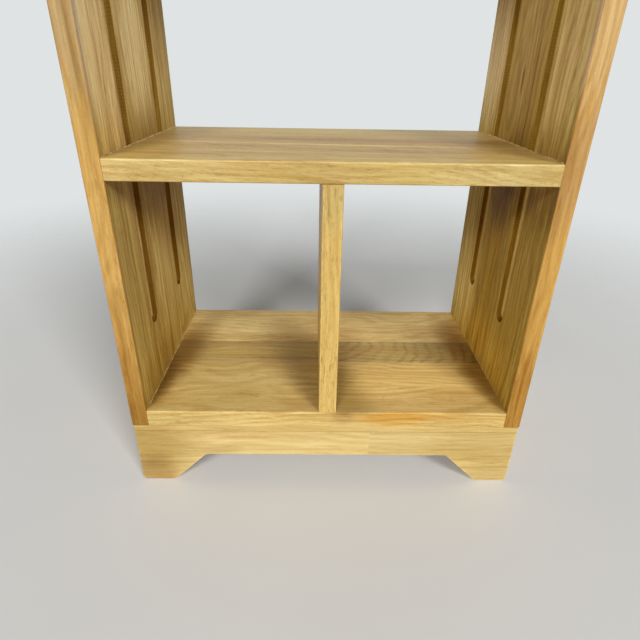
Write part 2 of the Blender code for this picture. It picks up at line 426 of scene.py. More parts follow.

# What streaks, pores, eased rims and bare cuts add to the roughness, and the lacquer's own roughness.
STREAK_ROUGH = 0.10
PORE_ROUGH = 0.18
RIM_ROUGH = -0.08
BARE_ROUGH = 0.14
COAT_ROUGH = 0.30

# How far fibres, pores, rings and the paler rims, worn and with a painted highlight, stand out in the relief,
# and the relief itself.
FIBRE_RELIEF = 0.35
PORE_RELIEF = -0.8
RING_RELIEF = 0.10
RIM_RELIEF = 0.8
RELIEF_STRENGTH = 0.40
RELIEF_DEPTH = 0.0002

# The share of a patch's reach that its soft edge takes up.
PATCH_EDGE = 0.70


@dataclass(frozen=True)
class WoodFinish:
    """Satin-lacquered wood, cut from a log whose rings, streaks, fibres and pores follow the grain."""

    name: str
    slot: str
    grain: Axis
    colour: Colour
    pale: Colour = (1.14, 1.18, 1.28)
    deep: Colour = (0.84, 0.75, 0.60)
    blush: Colour = (0.93, 0.84, 0.86)
    # Tint of the eased rims: partly wear, partly a painted highlight.
    rim: Colour = (1.20, 1.22, 1.26)
    figure: float = 1.0
    edge_figure: float = 1.0
    sway: float = 0.018
    ring_spacing: float = 0.0058
    ring_share: float = 0.18
    pore_share: float = 0.60
    roughness: float = 0.48
    gloss: float = 0.35
    lacquer: float = 0.10
    routed_face: float = 0.0
    knot: Triple = ORIGIN
    tint_patches: tuple[TintPatch, ...] = ()

    def stretch(self, along: float, across: float) -> Triple:
        """Blotches for each metre along and across the grain, as X, Y and Z."""
        return tuple(along if i == self.grain.value else across for i in range(3))

    def shade(self, tint: Colour) -> Colour:
        """The wood's own colour, times a tint."""
        return tuple(own * share for own, share in zip(self.colour, tint))

    def flow(self, sheet: FinishSheet, log: Socket) -> Socket:
        """The place in the log once its slow waves and the stave's slant are straightened out.

        Args:
            sheet: the material's sheet.
            log: the place in the log.

        Returns:
            The socket of the place.
        """
        sway = sheet.noise(log, self.stretch(6.0, 9.0), detail=1.0)
        shift = sheet.math("MULTIPLY_ADD", sway, self.sway, -self.sway / 2)
        along = sheet.along(sheet.place, self.grain)
        shift = sheet.math("MULTIPLY_ADD", along, sheet.mark(Mark.SLANT), shift)
        return sheet.vector("ADD", log, sheet.vector("SCALE", self.stretch(0.0, 1.0), shift))

    def rings(self, sheet: FinishSheet, log: Socket) -> Socket:
        """Growth rings round the log's heart, wandering along the grain.

        Args:
            sheet: the material's sheet.
            log: the place in the log.

        Returns:
            The socket of a value from 0 to 1.
        """
        radius = sheet.vector("LENGTH", sheet.vector("MULTIPLY", log, self.stretch(0.0, 1.0)))
        wander = sheet.noise(log, self.stretch(4.5, 14.0))
        far = sheet.math("MULTIPLY_ADD", wander, RING_WANDER, radius)
        turns = sheet.math("MULTIPLY", far, math.tau / self.ring_spacing)
        return sheet.spread(sheet.math("SINE", turns), -0.6, 1.0)

    def pores(self, sheet: FinishSheet, log: Socket) -> Socket:
        """Short dark dashes along the grain, fine ones and longer ones, in drifts.

        Args:
            sheet: the material's sheet.
            log: the place in the log.

        Returns:
            The socket of a value from 0 to 1.
        """
        fine = sheet.spread(sheet.noise(log, self.stretch(140.0, 1500.0), detail=1.0), 0.60, 0.70)
        long = sheet.spread(sheet.noise(log, self.stretch(75.0, 620.0), detail=1.0), 0.59, 0.72)
        drifts = sheet.spread(sheet.noise(log, self.stretch(8.0, 55.0)), 0.36, 0.64, 0.35, 1.0)
        return sheet.math("MULTIPLY", sheet.math("MAXIMUM", fine, long), drifts)

    def curl(self, sheet: FinishSheet) -> Socket:
        """Arcs round a knot, on the staves that carry them.

        Args:
            sheet: the material's sheet.

        Returns:
            The socket of a value around 0.
        """
        away = sheet.vector("LENGTH", sheet.vector("SUBTRACT", sheet.place, self.knot))
        warp = sheet.noise(sheet.place, (16.0, 22.0, 16.0))
        turns = sheet.math("MULTIPLY", away, math.tau / ARC_SPACING)
        turns = sheet.math("MULTIPLY_ADD", warp, 15.0, turns)
        arcs = sheet.spread(sheet.math("SINE", turns), -0.2, 1.0, -0.3, 0.7)
        patches = sheet.spread(sheet.noise(sheet.place, (18.0, 30.0, 18.0), detail=1.0), 0.30, 0.60, 0.3, 1.0)
        return sheet.math("MULTIPLY", sheet.math("MULTIPLY", arcs, patches), sheet.mark(Mark.CURL))

    def material(self) -> bpy.types.Material:
        """Builds the finish.

        Returns:
            The finished material.
        """
        sheet = FinishSheet(self.name)
        log = self.flow(sheet, sheet.vector("ADD", sheet.place, sheet.mark(Mark.CUT, "Vector")))
        rings = self.rings(sheet, log)
        bands = sheet.noise(log, self.stretch(1.0, 42.0))
        lines = sheet.noise(log, self.stretch(2.4, 230.0), detail=3.0, roughness=0.6)
        streaks = sheet.noise(log, self.stretch(11.0, 430.0), detail=3.0, roughness=0.55)
        fibres = sheet.noise(log, self.stretch(30.0, 1400.0))
        speckle = sheet.noise(log, self.stretch(520.0, 900.0))
        drift = sheet.noise(log, self.stretch(2.6, 24.0))
        pores = self.pores(sheet, log)
        eased = sheet.mark(Mark.EASED)
        end = sheet.mark(Mark.END)
        routed = sheet.mark(Mark.ROUTED)
        # Paler eased rims in patches: partly wear, partly a painted highlight.
        wear_and_highlight = sheet.spread(sheet.noise(sheet.place, (60.0, 60.0, 60.0), detail=3.0), 0.35, 0.62, 0.35, 0.90)
        rim_wear_and_highlight = sheet.math("MULTIPLY", wear_and_highlight, eased)

        depth = sheet.mixture(
            (bands, BAND_SHARE * self.figure),
            (lines, self.figure),
            (streaks, STREAK_SHARE * self.figure),
            (rings, self.ring_share * self.figure),
            (fibres, FIBRE_SHARE),
            (speckle, SPECKLE_SHARE),
        )
        swing = sheet.math("MULTIPLY_ADD", sheet.mark(Mark.EDGE), self.edge_figure - 1.0, 1.0)
        depth = sheet.math("MULTIPLY_ADD", sheet.math("SUBTRACT", depth, 0.5), swing, 0.5)
        depth = sheet.total(depth, (self.curl(sheet), CURL_SHARE))
        colour = sheet.blend(depth, self.shade(self.pale), self.shade(self.deep))
        blushing = sheet.math("ADD", sheet.spread(drift, 0.45, 0.72, 0.0, 0.5), sheet.mark(Mark.BLUSH))
        colour = sheet.blend(blushing, colour, self.blush, "MULTIPLY")
        for tint_patch in self.tint_patches:
            colour = self.patched(sheet, tint_patch, colour)
        colour = sheet.vector("SCALE", colour, sheet.math("ADD", sheet.mark(Mark.TONE), 1.0))
        tints = (
            (sheet.mark(Mark.GLUE), GLUE_TINT),
            (sheet.math("MULTIPLY", pores, self.pore_share), PORE_TINT),
            (end, END_TINT),
            (routed, self.scorch_and_shade(sheet)),
            # Paler rims: partly wear, partly a painted highlight.
            (rim_wear_and_highlight, self.rim),
        )
        for share, tint in tints:
            colour = sheet.blend(share, colour, tint, "MULTIPLY")

        rough = sheet.total(
            self.roughness - STREAK_ROUGH / 2,
            (sheet.spread(streaks, 0.3, 0.7), STREAK_ROUGH),
            (pores, PORE_ROUGH),
            (eased, RIM_ROUGH),
            (sheet.math("MAXIMUM", end, routed), BARE_ROUGH),
        )
        relief = sheet.total(
            0.0,
            (fibres, FIBRE_RELIEF),
            (pores, PORE_RELIEF),
            (rings, RING_RELIEF),
            (rim_wear_and_highlight, RIM_RELIEF),
        )
        sheet.set("Base Color", colour)
        sheet.set("Roughness", rough)
        sheet.set("Specular IOR Level", self.gloss)
        sheet.set("Coat Weight", self.lacquer)
        sheet.set("Coat Roughness", COAT_ROUGH)
        sheet.bump(relief, RELIEF_STRENGTH, RELIEF_DEPTH)
        return sheet.material

    def patched(self, sheet: FinishSheet, tint_patch: TintPatch, colour: Socket) -> Socket:
        """Lays one patch over the wood's colour.

        Args:
            sheet: the material's sheet.
            tint_patch: the patch to lay.
            colour: the colour so far.

        Returns:
            The colour with the patch in it.
        """
        away = sheet.vector("SUBTRACT", sheet.place, tint_patch.centre)
        along = sheet.along(away, self.grain)
        aside = sheet.vector("SCALE", (0.0, tint_patch.lean, 0.0), along)
        away = sheet.vector("DIVIDE", sheet.vector("ADD", away, aside), tint_patch.reach)
        fray = sheet.noise(sheet.place, self.stretch(30.0, 260.0), detail=3.0)
        reach = sheet.total(sheet.vector("LENGTH", away), (fray, tint_patch.ragged))
        far = 1.0 + tint_patch.ragged / 2
        share = sheet.spread(reach, far - PATCH_EDGE * tint_patch.soft, far, tint_patch.strength, 0.0)
        return sheet.blend(share, colour, tint_patch.tint, "MULTIPLY")

    def scorch_and_shade(self, sheet: FinishSheet) -> Socket:
        """The slot walls' colour: browned and faintly rippled by the cutter, darkened by painted shade, and
        painted lighter above the shelf and past the depth where light comes through the slot.

        Args:
            sheet: the material's sheet.

        Returns:
            The socket of the tint.
        """
        height = sheet.along(sheet.place, Axis.Z)
        ripple = sheet.math("SINE", sheet.math("MULTIPLY", height, math.tau / RIPPLE_SPACING))
        strong = sheet.spread(sheet.noise(sheet.place, (20.0, 20.0, 24.0)), 0.44, 0.62, 0.02, 0.22)
        tint = sheet.blend(sheet.math("MULTIPLY_ADD", ripple, strong, 0.5), SCORCH_AND_SHADE_PALE, SCORCH_AND_SHADE_DEEP)
        # Painted light: the walls lighter above the shelf.
        tint = sheet.blend(sheet.spread(height, *SLOT_LIGHT_FADE), tint, SLOT_LIGHT_ABOVE_SHELF, "MULTIPLY")
        across = sheet.math("ABSOLUTE", sheet.along(sheet.place, Axis.X))
        deep = sheet.math("SUBTRACT", across, self.routed_face)
        # Painted light on the deeper wall, where light comes in through the slot.
        return sheet.blend(sheet.spread(deep, *SLOT_LIGHT_DEPTH), tint, SLOT_LIGHT_DEEP_WALL)


@dataclass(frozen=True)
class SteelFinish:
    """Zinc-plated steel with fine turning marks."""

    name: str = "zinc_steel"
    slot: str = "screw_steel"
    bright: Colour = (0.72, 0.70, 0.64)
    dull: Colour = (0.50, 0.49, 0.46)

    def material(self) -> bpy.types.Material:
        """Builds the finish.

        Returns:
            The finished material.
        """
        sheet = FinishSheet(self.name)
        clouds = sheet.noise(sheet.place, (400.0, 400.0, 400.0), detail=3.0)
        marks = sheet.noise(sheet.place, (250.0, 250.0, 3500.0))
        sheet.set("Base Color", sheet.blend(sheet.spread(clouds, 0.35, 0.65), self.bright, self.dull))
        sheet.set("Roughness", sheet.spread(marks, 0.3, 0.7, 0.28, 0.48))
        sheet.set("Metallic", 1.0)
        sheet.bump(marks, 0.3, 0.00005)
        return sheet.material


@dataclass(frozen=True)
class BeadFinish:
    """Dried squeeze-out of glue and lacquer along a joint."""

    name: str = "joint_bead"
    slot: str = "shelf_wood"
    pale: Colour = linear(212, 180, 104)
    deep: Colour = linear(178, 138, 66)

    def material(self) -> bpy.types.Material:
        """Builds the finish.

        Returns:
            The finished material.
        """
        sheet = FinishSheet(self.name)
        lumps = sheet.noise(sheet.place, (300.0, 120.0, 300.0), detail=3.0)
        sheet.set("Base Color", sheet.blend(sheet.spread(lumps, 0.35, 0.65), self.pale, self.deep))
        sheet.set("Roughness", sheet.spread(lumps, 0.3, 0.7, 0.30, 0.52))
        sheet.set("Specular IOR Level", 0.25)
        sheet.bump(lumps, 0.4, 0.0002)
        return sheet.material


# How deep patches go: on a face alone, on an edge and its rims, or on into the wood.
FACE_ONLY = 0.0003
THIN = 0.003
RIM = 0.0035
SKIN = 0.004
DEEP = 0.010
STREAK = 0.02
THROUGH = 0.060

FRONT = Face.of("plinth_front", Axis.Y, False, SKIN)
THIN_FRONT = replace(FRONT, depth=THIN)
RIM_FRONT = replace(FRONT, depth=RIM)
DEEP_FRONT = replace(FRONT, depth=DEEP)
LEFT_FACE = Face.of("left_side_panel", Axis.X, True, FACE_ONLY)
LEFT_STREAK = replace(LEFT_FACE, depth=STREAK)
RIGHT_FACE = Face.of("right_side_panel", Axis.X, False, FACE_ONLY)
RIGHT_STREAK = replace(RIGHT_FACE, depth=STREAK)
BOTTOM_TOP = Face.of("bottom_board", Axis.Z, True, DEEP)
BOTTOM_SKIN = replace(BOTTOM_TOP, depth=SKIN)
SHELF_TOP = Face.of("middle_shelf", Axis.Z, True, THROUGH)
SHELF_SKIN = replace(SHELF_TOP, depth=SKIN)

VEIN = (0.74, 0.66, 0.54)
RUST = (0.78, 0.63, 0.40)
LEFT_STAINS_AND_PAINTED_LIGHT = (
    # Painted light: paler above the shelf and in the lowest bay. Painted shade: darker under the shelf and in
    # the corner over the bottom board. A darker front edge at the foot.
    LEFT_FACE.tint_patch((0.010, 0.660), (0.300, 0.340), (1.28, 1.36, 1.85), soft=0.3, ragged=0.3),
    LEFT_FACE.tint_patch((-0.085, 0.430), (0.040, 0.150), (1.40, 1.47, 2.00), soft=0.5, ragged=0.3),
    LEFT_FACE.tint_patch((0.000, 0.430), (0.046, 0.110), (1.30, 1.42, 2.00)),
    LEFT_FACE.tint_patch((0.000, 0.220), (0.050, 0.090), (1.12, 1.16, 1.35)),
    LEFT_FACE.tint_patch((0.095, 0.190), (0.060, 0.085), (1.34, 1.42, 1.70)),
    LEFT_FACE.tint_patch((0.010, 0.318), (0.085, 0.080), (0.55, 0.48, 0.34), 0.9),
    LEFT_FACE.tint_patch((-0.090, 0.324), (0.050, 0.031), (0.60, 0.52, 0.38), 0.9),
    LEFT_FACE.tint_patch((-0.055, 0.105), (0.100, 0.045), (0.83, 0.77, 0.60)),
    DEEP_FRONT.tint_patch((-0.194, 0.080), (0.03, 0.045), (0.78, 0.75, 0.62)),
    # Dark veins and rust-coloured streaks along the grain.
    LEFT_STREAK.tint_patch((-0.0925, 0.285), (0.0016, 0.055), VEIN, 0.9),
    LEFT_STREAK.tint_patch((-0.0845, 0.270), (0.0013, 0.060), VEIN, 0.8),
    LEFT_STREAK.tint_patch((-0.1010, 0.255), (0.0012, 0.070), VEIN, 0.6),
    LEFT_STREAK.tint_patch((0.0290, 0.120), (0.0045, 0.050), RUST, 0.8),
    LEFT_STREAK.tint_patch((-0.0060, 0.110), (0.0060, 0.040), RUST, 0.6),
    LEFT_STREAK.tint_patch((0.0800, 0.150), (0.0040, 0.060), RUST, 0.5),
)
RIGHT_STAINS_AND_PAINTED_LIGHT = (
    # Painted light: paler above the shelf and in the lowest bay. Painted shade: darker under the shelf and
    # between the slots. A darker length of the front edge by the shelf.
    RIGHT_FACE.tint_patch((0.010, 0.660), (0.300, 0.340), (1.18, 1.13, 1.40), soft=0.3, ragged=0.3),
    RIGHT_FACE.tint_patch((-0.088, 0.430), (0.040, 0.150), (1.62, 1.84, 3.20), soft=0.5, ragged=0.3),
    RIGHT_FACE.tint_patch((0.092, 0.420), (0.060, 0.100), (1.70, 2.00, 4.40), ragged=0.4),
    RIGHT_FACE.tint_patch((0.000, 0.430), (0.046, 0.110), (1.10, 1.14, 1.60)),
    RIGHT_FACE.tint_patch((-0.085, 0.200), (0.050, 0.110), (1.12, 1.10, 1.14)),
    RIGHT_FACE.tint_patch((0.088, 0.168), (0.068, 0.098), (1.55, 1.70, 2.75), ragged=0.5),
    RIGHT_FACE.tint_patch((-0.020, 0.100), (0.130, 0.070), (1.34, 1.26, 1.12)),
    RIGHT_FACE.tint_patch((-0.060, 0.322), (0.140, 0.060), (0.60, 0.50, 0.36), 0.9),
    RIGHT_FACE.tint_patch((0.004, 0.295), (0.046, 0.060), (0.52, 0.46, 0.36)),
    RIGHT_FACE.tint_patch((0.000, 0.200), (0.045, 0.110), (0.94, 0.86, 0.50)),
    DEEP_FRONT.tint_patch((0.194, 0.335), (0.03, 0.070), (0.86, 0.85, 1.08)),
    # Painted shade on the rear wall of the rear slot.
    TintPatch((0.1945, 0.0605, 0.400), (0.009, 0.004, 0.090), (0.74, 0.70, 0.62)),
    # A dark vein and a dark spot, and rust-coloured streaks along the grain.
    RIGHT_STREAK.tint_patch((-0.0330, 0.215), (0.0022, 0.060), VEIN, 0.8),
    RIGHT_STREAK.tint_patch((0.0043, 0.402), (0.0036, 0.018), (0.55, 0.42, 0.30)),
    RIGHT_STREAK.tint_patch((-0.0215, 0.385), (0.0020, 0.080), RUST, 0.9),
    RIGHT_STREAK.tint_patch((0.0370, 0.105), (0.0060, 0.030), RUST, 0.9),
    RIGHT_STREAK.tint_patch((0.0010, 0.108), (0.0070, 0.040), RUST),
    RIGHT_STREAK.tint_patch((-0.0250, 0.130), (0.0050, 0.050), RUST, 0.7),
    DEEP_FRONT.tint_patch((0.193, 0.135), (0.0030, 0.055), RUST, 0.8),
)
BOTTOM_STAINS_AND_PAINTED_LIGHT = (
    # Browner and greyer lengths of the front edge.
    THIN_FRONT.tint_patch((0.110, 0.0843), (0.130, 0.020), (0.94, 0.90, 0.82)),
    THIN_FRONT.tint_patch((-0.145, 0.081), (0.055, 0.012), (0.88, 0.87, 0.86)),
    FRONT.tint_patch((0.068, 0.087), (0.046, 0.0115), (1.00, 0.83, 0.52), soft=0.8),
    FRONT.tint_patch((0.115, 0.089), (0.050, 0.0060), (1.00, 0.90, 0.74)),
    FRONT.tint_patch((0.016, 0.087), (0.017, 0.012), (0.80, 0.74, 0.76), 0.9),
    # Streaks and broad bands along the staves.
    BOTTOM_TOP.tint_patch((-0.125, 0.0285), (0.060, 0.0035), (1.30, 1.40, 1.65)),
    BOTTOM_TOP.tint_patch((0.095, 0.0345), (0.110, 0.0080), (1.08, 1.16, 1.32)),
    BOTTOM_TOP.tint_patch((-0.040, -0.0140), (0.080, 0.0040), (0.78, 0.72, 0.62), 0.9),
    # Painted sheen and light over the back rows.
    BOTTOM_TOP.tint_patch((0.000, 0.0850), (0.350, 0.070), (1.14, 1.20, 1.34)),
    BOTTOM_TOP.tint_patch((0.000, 0.0030), (0.400, 0.025), (1.00, 0.97, 0.80)),
    # Painted light: paler patches where light falls in the open, at the front on the right and towards the
    # back.
    BOTTOM_SKIN.tint_patch((0.100, -0.0700), (0.100, 0.065), (1.20, 1.17, 1.12), 0.9),
    BOTTOM_SKIN.tint_patch((-0.165, 0.0750), (0.060, 0.055), (1.18, 1.22, 1.28)),
    BOTTOM_SKIN.tint_patch((-0.060, 0.0720), (0.080, 0.050), (1.12, 1.16, 1.26)),
    BOTTOM_SKIN.tint_patch((0.045, 0.0500), (0.040, 0.050), (1.12, 1.14, 1.18)),
    # Painted shadows cast by the side panels and the divider, slanting across the grain.
    BOTTOM_SKIN.tint_patch((-0.1855, -0.0450), (0.060, 0.120), (0.60, 0.50, 0.34), 0.9, lean=-3.0, ragged=0.4),
    BOTTOM_SKIN.tint_patch((-0.009, -0.0400), (0.085, 0.110), (0.58, 0.53, 0.39), 0.9, lean=1.73, ragged=0.4),
    BOTTOM_SKIN.tint_patch((0.012, -0.0300), (0.028, 0.070), (0.87, 0.83, 0.75), 0.9, lean=-3.0, ragged=0.4),
    BOTTOM_SKIN.tint_patch((0.1855, -0.0450), (0.050, 0.120), (0.57, 0.47, 0.25), 0.9, lean=2.6, ragged=0.4),
    BOTTOM_SKIN.tint_patch((0.165, -0.0400), (0.016, 0.018), (0.72, 0.66, 0.55), 0.9, ragged=0.4),
    # Painted shade in the corners.
    BOTTOM_TOP.tint_patch((-0.190, 0.0450), (0.048, 0.085), (0.70, 0.62, 0.48), 0.4, ragged=0.4),
    BOTTOM_TOP.tint_patch((0.190, 0.0450), (0.060, 0.085), (0.58, 0.48, 0.35), 0.9, ragged=0.4),
    BOTTOM_TOP.tint_patch((-0.190, -0.0560), (0.026, 0.068), (0.50, 0.40, 0.28), 0.9, ragged=0.4),
    BOTTOM_TOP.tint_patch((0.190, -0.0500), (0.034, 0.068), (0.50, 0.40, 0.28), 0.8, ragged=0.4),
)
SHELF_STAINS_AND_PAINTED_SHEEN = (
    # Reddish heartwood and pale streaks, running aside as the grain does.
    SHELF_TOP.tint_patch((0.000, 0.0140), (0.210, 0.0200), (0.82, 0.70, 0.70), 0.9, lean=0.060),
    SHELF_TOP.tint_patch((0.000, -0.0223), (0.320, 0.0060), (1.34, 1.50, 1.74), lean=0.0714),
    SHELF_TOP.tint_patch((-0.135, -0.0863), (0.055, 0.0075), (0.82, 0.70, 0.70), 0.9, lean=0.070),
    SHELF_TOP.tint_patch((-0.085, -0.0352), (0.055, 0.0090), (0.84, 0.73, 0.72), 0.9, lean=0.070),
    SHELF_TOP.tint_patch((0.060, -0.0600), (0.100, 0.0160), (0.88, 0.80, 0.77), 0.9, lean=0.070),
    SHELF_SKIN.tint_patch((-0.075, -0.0660), (0.075, 0.010), (1.13, 1.17, 1.24), lean=0.07),
    SHELF_SKIN.tint_patch((-0.071, -0.0815), (0.060, 0.007), (0.90, 0.88, 0.86), lean=0.07),
    # Paler wood along the front, a painted sheen along the back, and a darker patch by the right side panel.
    SHELF_SKIN.tint_patch((0.020, -0.1080), (0.300, 0.014), (1.14, 1.20, 1.30)),
    SHELF_TOP.tint_patch((0.000, 0.1000), (0.500, 0.0450), (1.05, 1.16, 1.30), 0.9),
    SHELF_TOP.tint_patch((0.170, 0.0080), (0.036, 0.0300), (0.76, 0.68, 0.58), 0.9),
    # Lengths of the front edge.
    FRONT.tint_patch((-0.135, 0.334), (0.090, 0.020), (1.07, 1.10, 1.24)),
    FRONT.tint_patch((0.000, 0.334), (0.060, 0.020), (0.95, 0.94, 0.96)),
    FRONT.tint_patch((0.140, 0.334), (0.080, 0.020), (1.02, 1.05, 1.22)),
    FRONT.tint_patch((-0.1855, 0.334), (0.016, 0.012), (1.04, 0.95, 0.98), 0.8),
)
PLINTH_STAINS = (
    # Darker feet.
    FRONT.tint_patch((-0.190, 0.045), (0.070, 0.050), (0.66, 0.59, 0.40), 0.9, ragged=0.5),
    FRONT.tint_patch((-0.186, 0.006), (0.034, 0.045), (0.70, 0.62, 0.51), ragged=0.3),
    FRONT.tint_patch((0.181, 0.006), (0.050, 0.036), (0.80, 0.77, 0.70)),
    FRONT.tint_patch((0.170, 0.050), (0.090, 0.050), (0.88, 0.84, 0.73), 0.9),
    # Darker and paler streaks over the arch.
    FRONT.tint_patch((-0.115, 0.044), (0.035, 0.010), (0.84, 0.80, 0.74)),
    FRONT.tint_patch((-0.110, 0.072), (0.050, 0.006), (0.90, 0.89, 0.88)),
    FRONT.tint_patch((-0.115, 0.056), (0.020, 0.007), (1.08, 1.10, 1.22)),
    FRONT.tint_patch((-0.015, 0.048), (0.030, 0.006), (1.07, 1.09, 1.20)),
)

LEFT_WOOD = WoodFinish(
    name="side_wood_left",
    slot="side_wood",
    grain=Axis.Z,
    colour=linear(208, 179, 98),
    pale=(1.25, 1.30, 1.42),
    deep=(0.73, 0.63, 0.48),
    blush=(0.97, 0.93, 0.93),
    rim=(1.10, 1.10, 1.12),
    figure=1.60,
    edge_figure=0.70,
    sway=0.012,
    roughness=0.56,
    gloss=0.08,
    lacquer=0.0,
    tint_patches=LEFT_STAINS_AND_PAINTED_LIGHT,
)
RIGHT_WOOD = replace(LEFT_WOOD, name="side_wood_right", colour=linear(195, 167, 78), tint_patches=RIGHT_STAINS_AND_PAINTED_LIGHT)
SHELF_WOOD = WoodFinish(
    name="shelf_wood",
    slot="shelf_wood",
    grain=Axis.X,
    colour=linear(203, 176, 104),
    figure=1.2,
    edge_figure=1.55,
    gloss=0.32,
)
DIVIDER_WOOD = WoodFinish(
    name="divider_wood",
    slot="divider_wood",
    grain=Axis.Z,
    colour=linear(222, 190, 110),
    edge_figure=1.45,
    pore_share=1.0,
    tint_patches=(DEEP_FRONT.tint_patch((0.0, 0.322), (0.030, 0.050), (0.88, 0.93, 1.06)),),
)
PLINTH_WOOD = WoodFinish(
    name="plinth_wood",
    slot="plinth_wood",
    grain=Axis.X,
    colour=linear(218, 191, 122),
    # A stronger painted highlight on the plinth's rims, over their wear.
    rim=(1.36, 1.40, 1.50),
    figure=1.5,
    ring_share=0.12,
    pore_share=0.35,
)
BRACE_WOOD = WoodFinish(
    name="brace_wood",
    slot="brace_wood",
    grain=Axis.X,
    colour=linear(196, 164, 112),
    roughness=0.66,
    lacquer=0.0,
)
DOWEL_WOOD = WoodFinish(
    name="dowel_wood",
    slot="dowel_wood",
    grain=Axis.X,
    colour=linear(206, 174, 128),
    roughness=0.7,
    lacquer=0.0,
)


@dataclass(frozen=True)
class Stave:
    """One length of wood in a row: where it ends along the grain, and how it differs from the rest."""

    until: float = math.inf
    tone: float = 0.0
    blush: float = 0.0
    curl: float = 0.0
    slant: float = math.nan


@dataclass(frozen=True)
class Row:
    """A row of staves across a board, with the darkness of the glue line on its far side."""

    width: float
    staves: tuple[Stave, ...]
    glue: float = 0.0


# Ranges of what is drawn for a stave: how far from the log's heart and how far along the log it was cut,
# how its grain slants, and the tone, blush and glue line of plain staves.
HEARTS = (0.035, 0.10)
LENGTHS = (1.0, 9.0)
SLANTS = (-0.05, 0.05)
PLAIN_TONES = (-0.09, 0.05)
PLAIN_BLUSHES = (0.0, 0.35)
PLAIN_GLUES = (0.0, 0.3)


def drawn_stave(draw: random.Random, tones: Pair, blushes: Pair) -> Stave:
    """A full-length stave, its tone and then its blush drawn from their ranges."""
    return Stave(tone=draw.uniform(*tones), blush=draw.uniform(*blushes))


def plain_rows(name: str, count: int, width: float) -> tuple[Row, ...]:
    """Rows of full-length staves whose tones differ a little from board to board.

    Args:
        name: the board's name, which settles the tones.
        count: how many rows there are.
        width: the rows' width in metres.

    Returns:
        The rows, in order.
    """
    draw = random.Random(name)
    return tuple(
        Row(width, (drawn_stave(draw, PLAIN_TONES, PLAIN_BLUSHES),), draw.choice(PLAIN_GLUES))
        for _ in range(count)
    )


def longest(size: Vector) -> Axis:
    """The axis along which a size is greatest."""
    return max(Axis, key=lambda axis: size[axis.value])


def only(kind: type, items: list) -> list:
    """The items of one kind."""
    return [item for item in items if isinstance(item, kind)]


def sawn_box(low: Vector, high: Vector) -> Mesh:
    """Saws a plain box.

    Args:
        low: its corner with the lowest coordinates.
        high: its corner with the highest ones.

    Returns:
        A mesh with sharp edges, in place.
    """
    bm = bmesh.new()
    size = Matrix.Diagonal((*(high - low), 1.0))
    bmesh.ops.create_cube(bm, size=1.0, matrix=Matrix.Translation((low + high) / 2) @ size)
    return bm


def thicken(bm: Mesh, shift: Triple) -> None:
    """Turns a flat outline into a board.

    Args:
        bm: the outline's mesh.
        shift: the way from the outline to the board's other face.
    """
    grown = bmesh.ops.extrude_face_region(bm, geom=bm.faces[:])
    bmesh.ops.translate(bm, verts=only(Vert, grown["geom"]), vec=shift)
    bmesh.ops.recalc_face_normals(bm, faces=bm.faces)


def smooth(piece: Piece) -> None:
    """Shades a piece smooth between its sharp edges."""
    piece.data.shade_smooth()
    piece.data.set_sharp_from_angle(angle=SMOOTH_ANGLE)


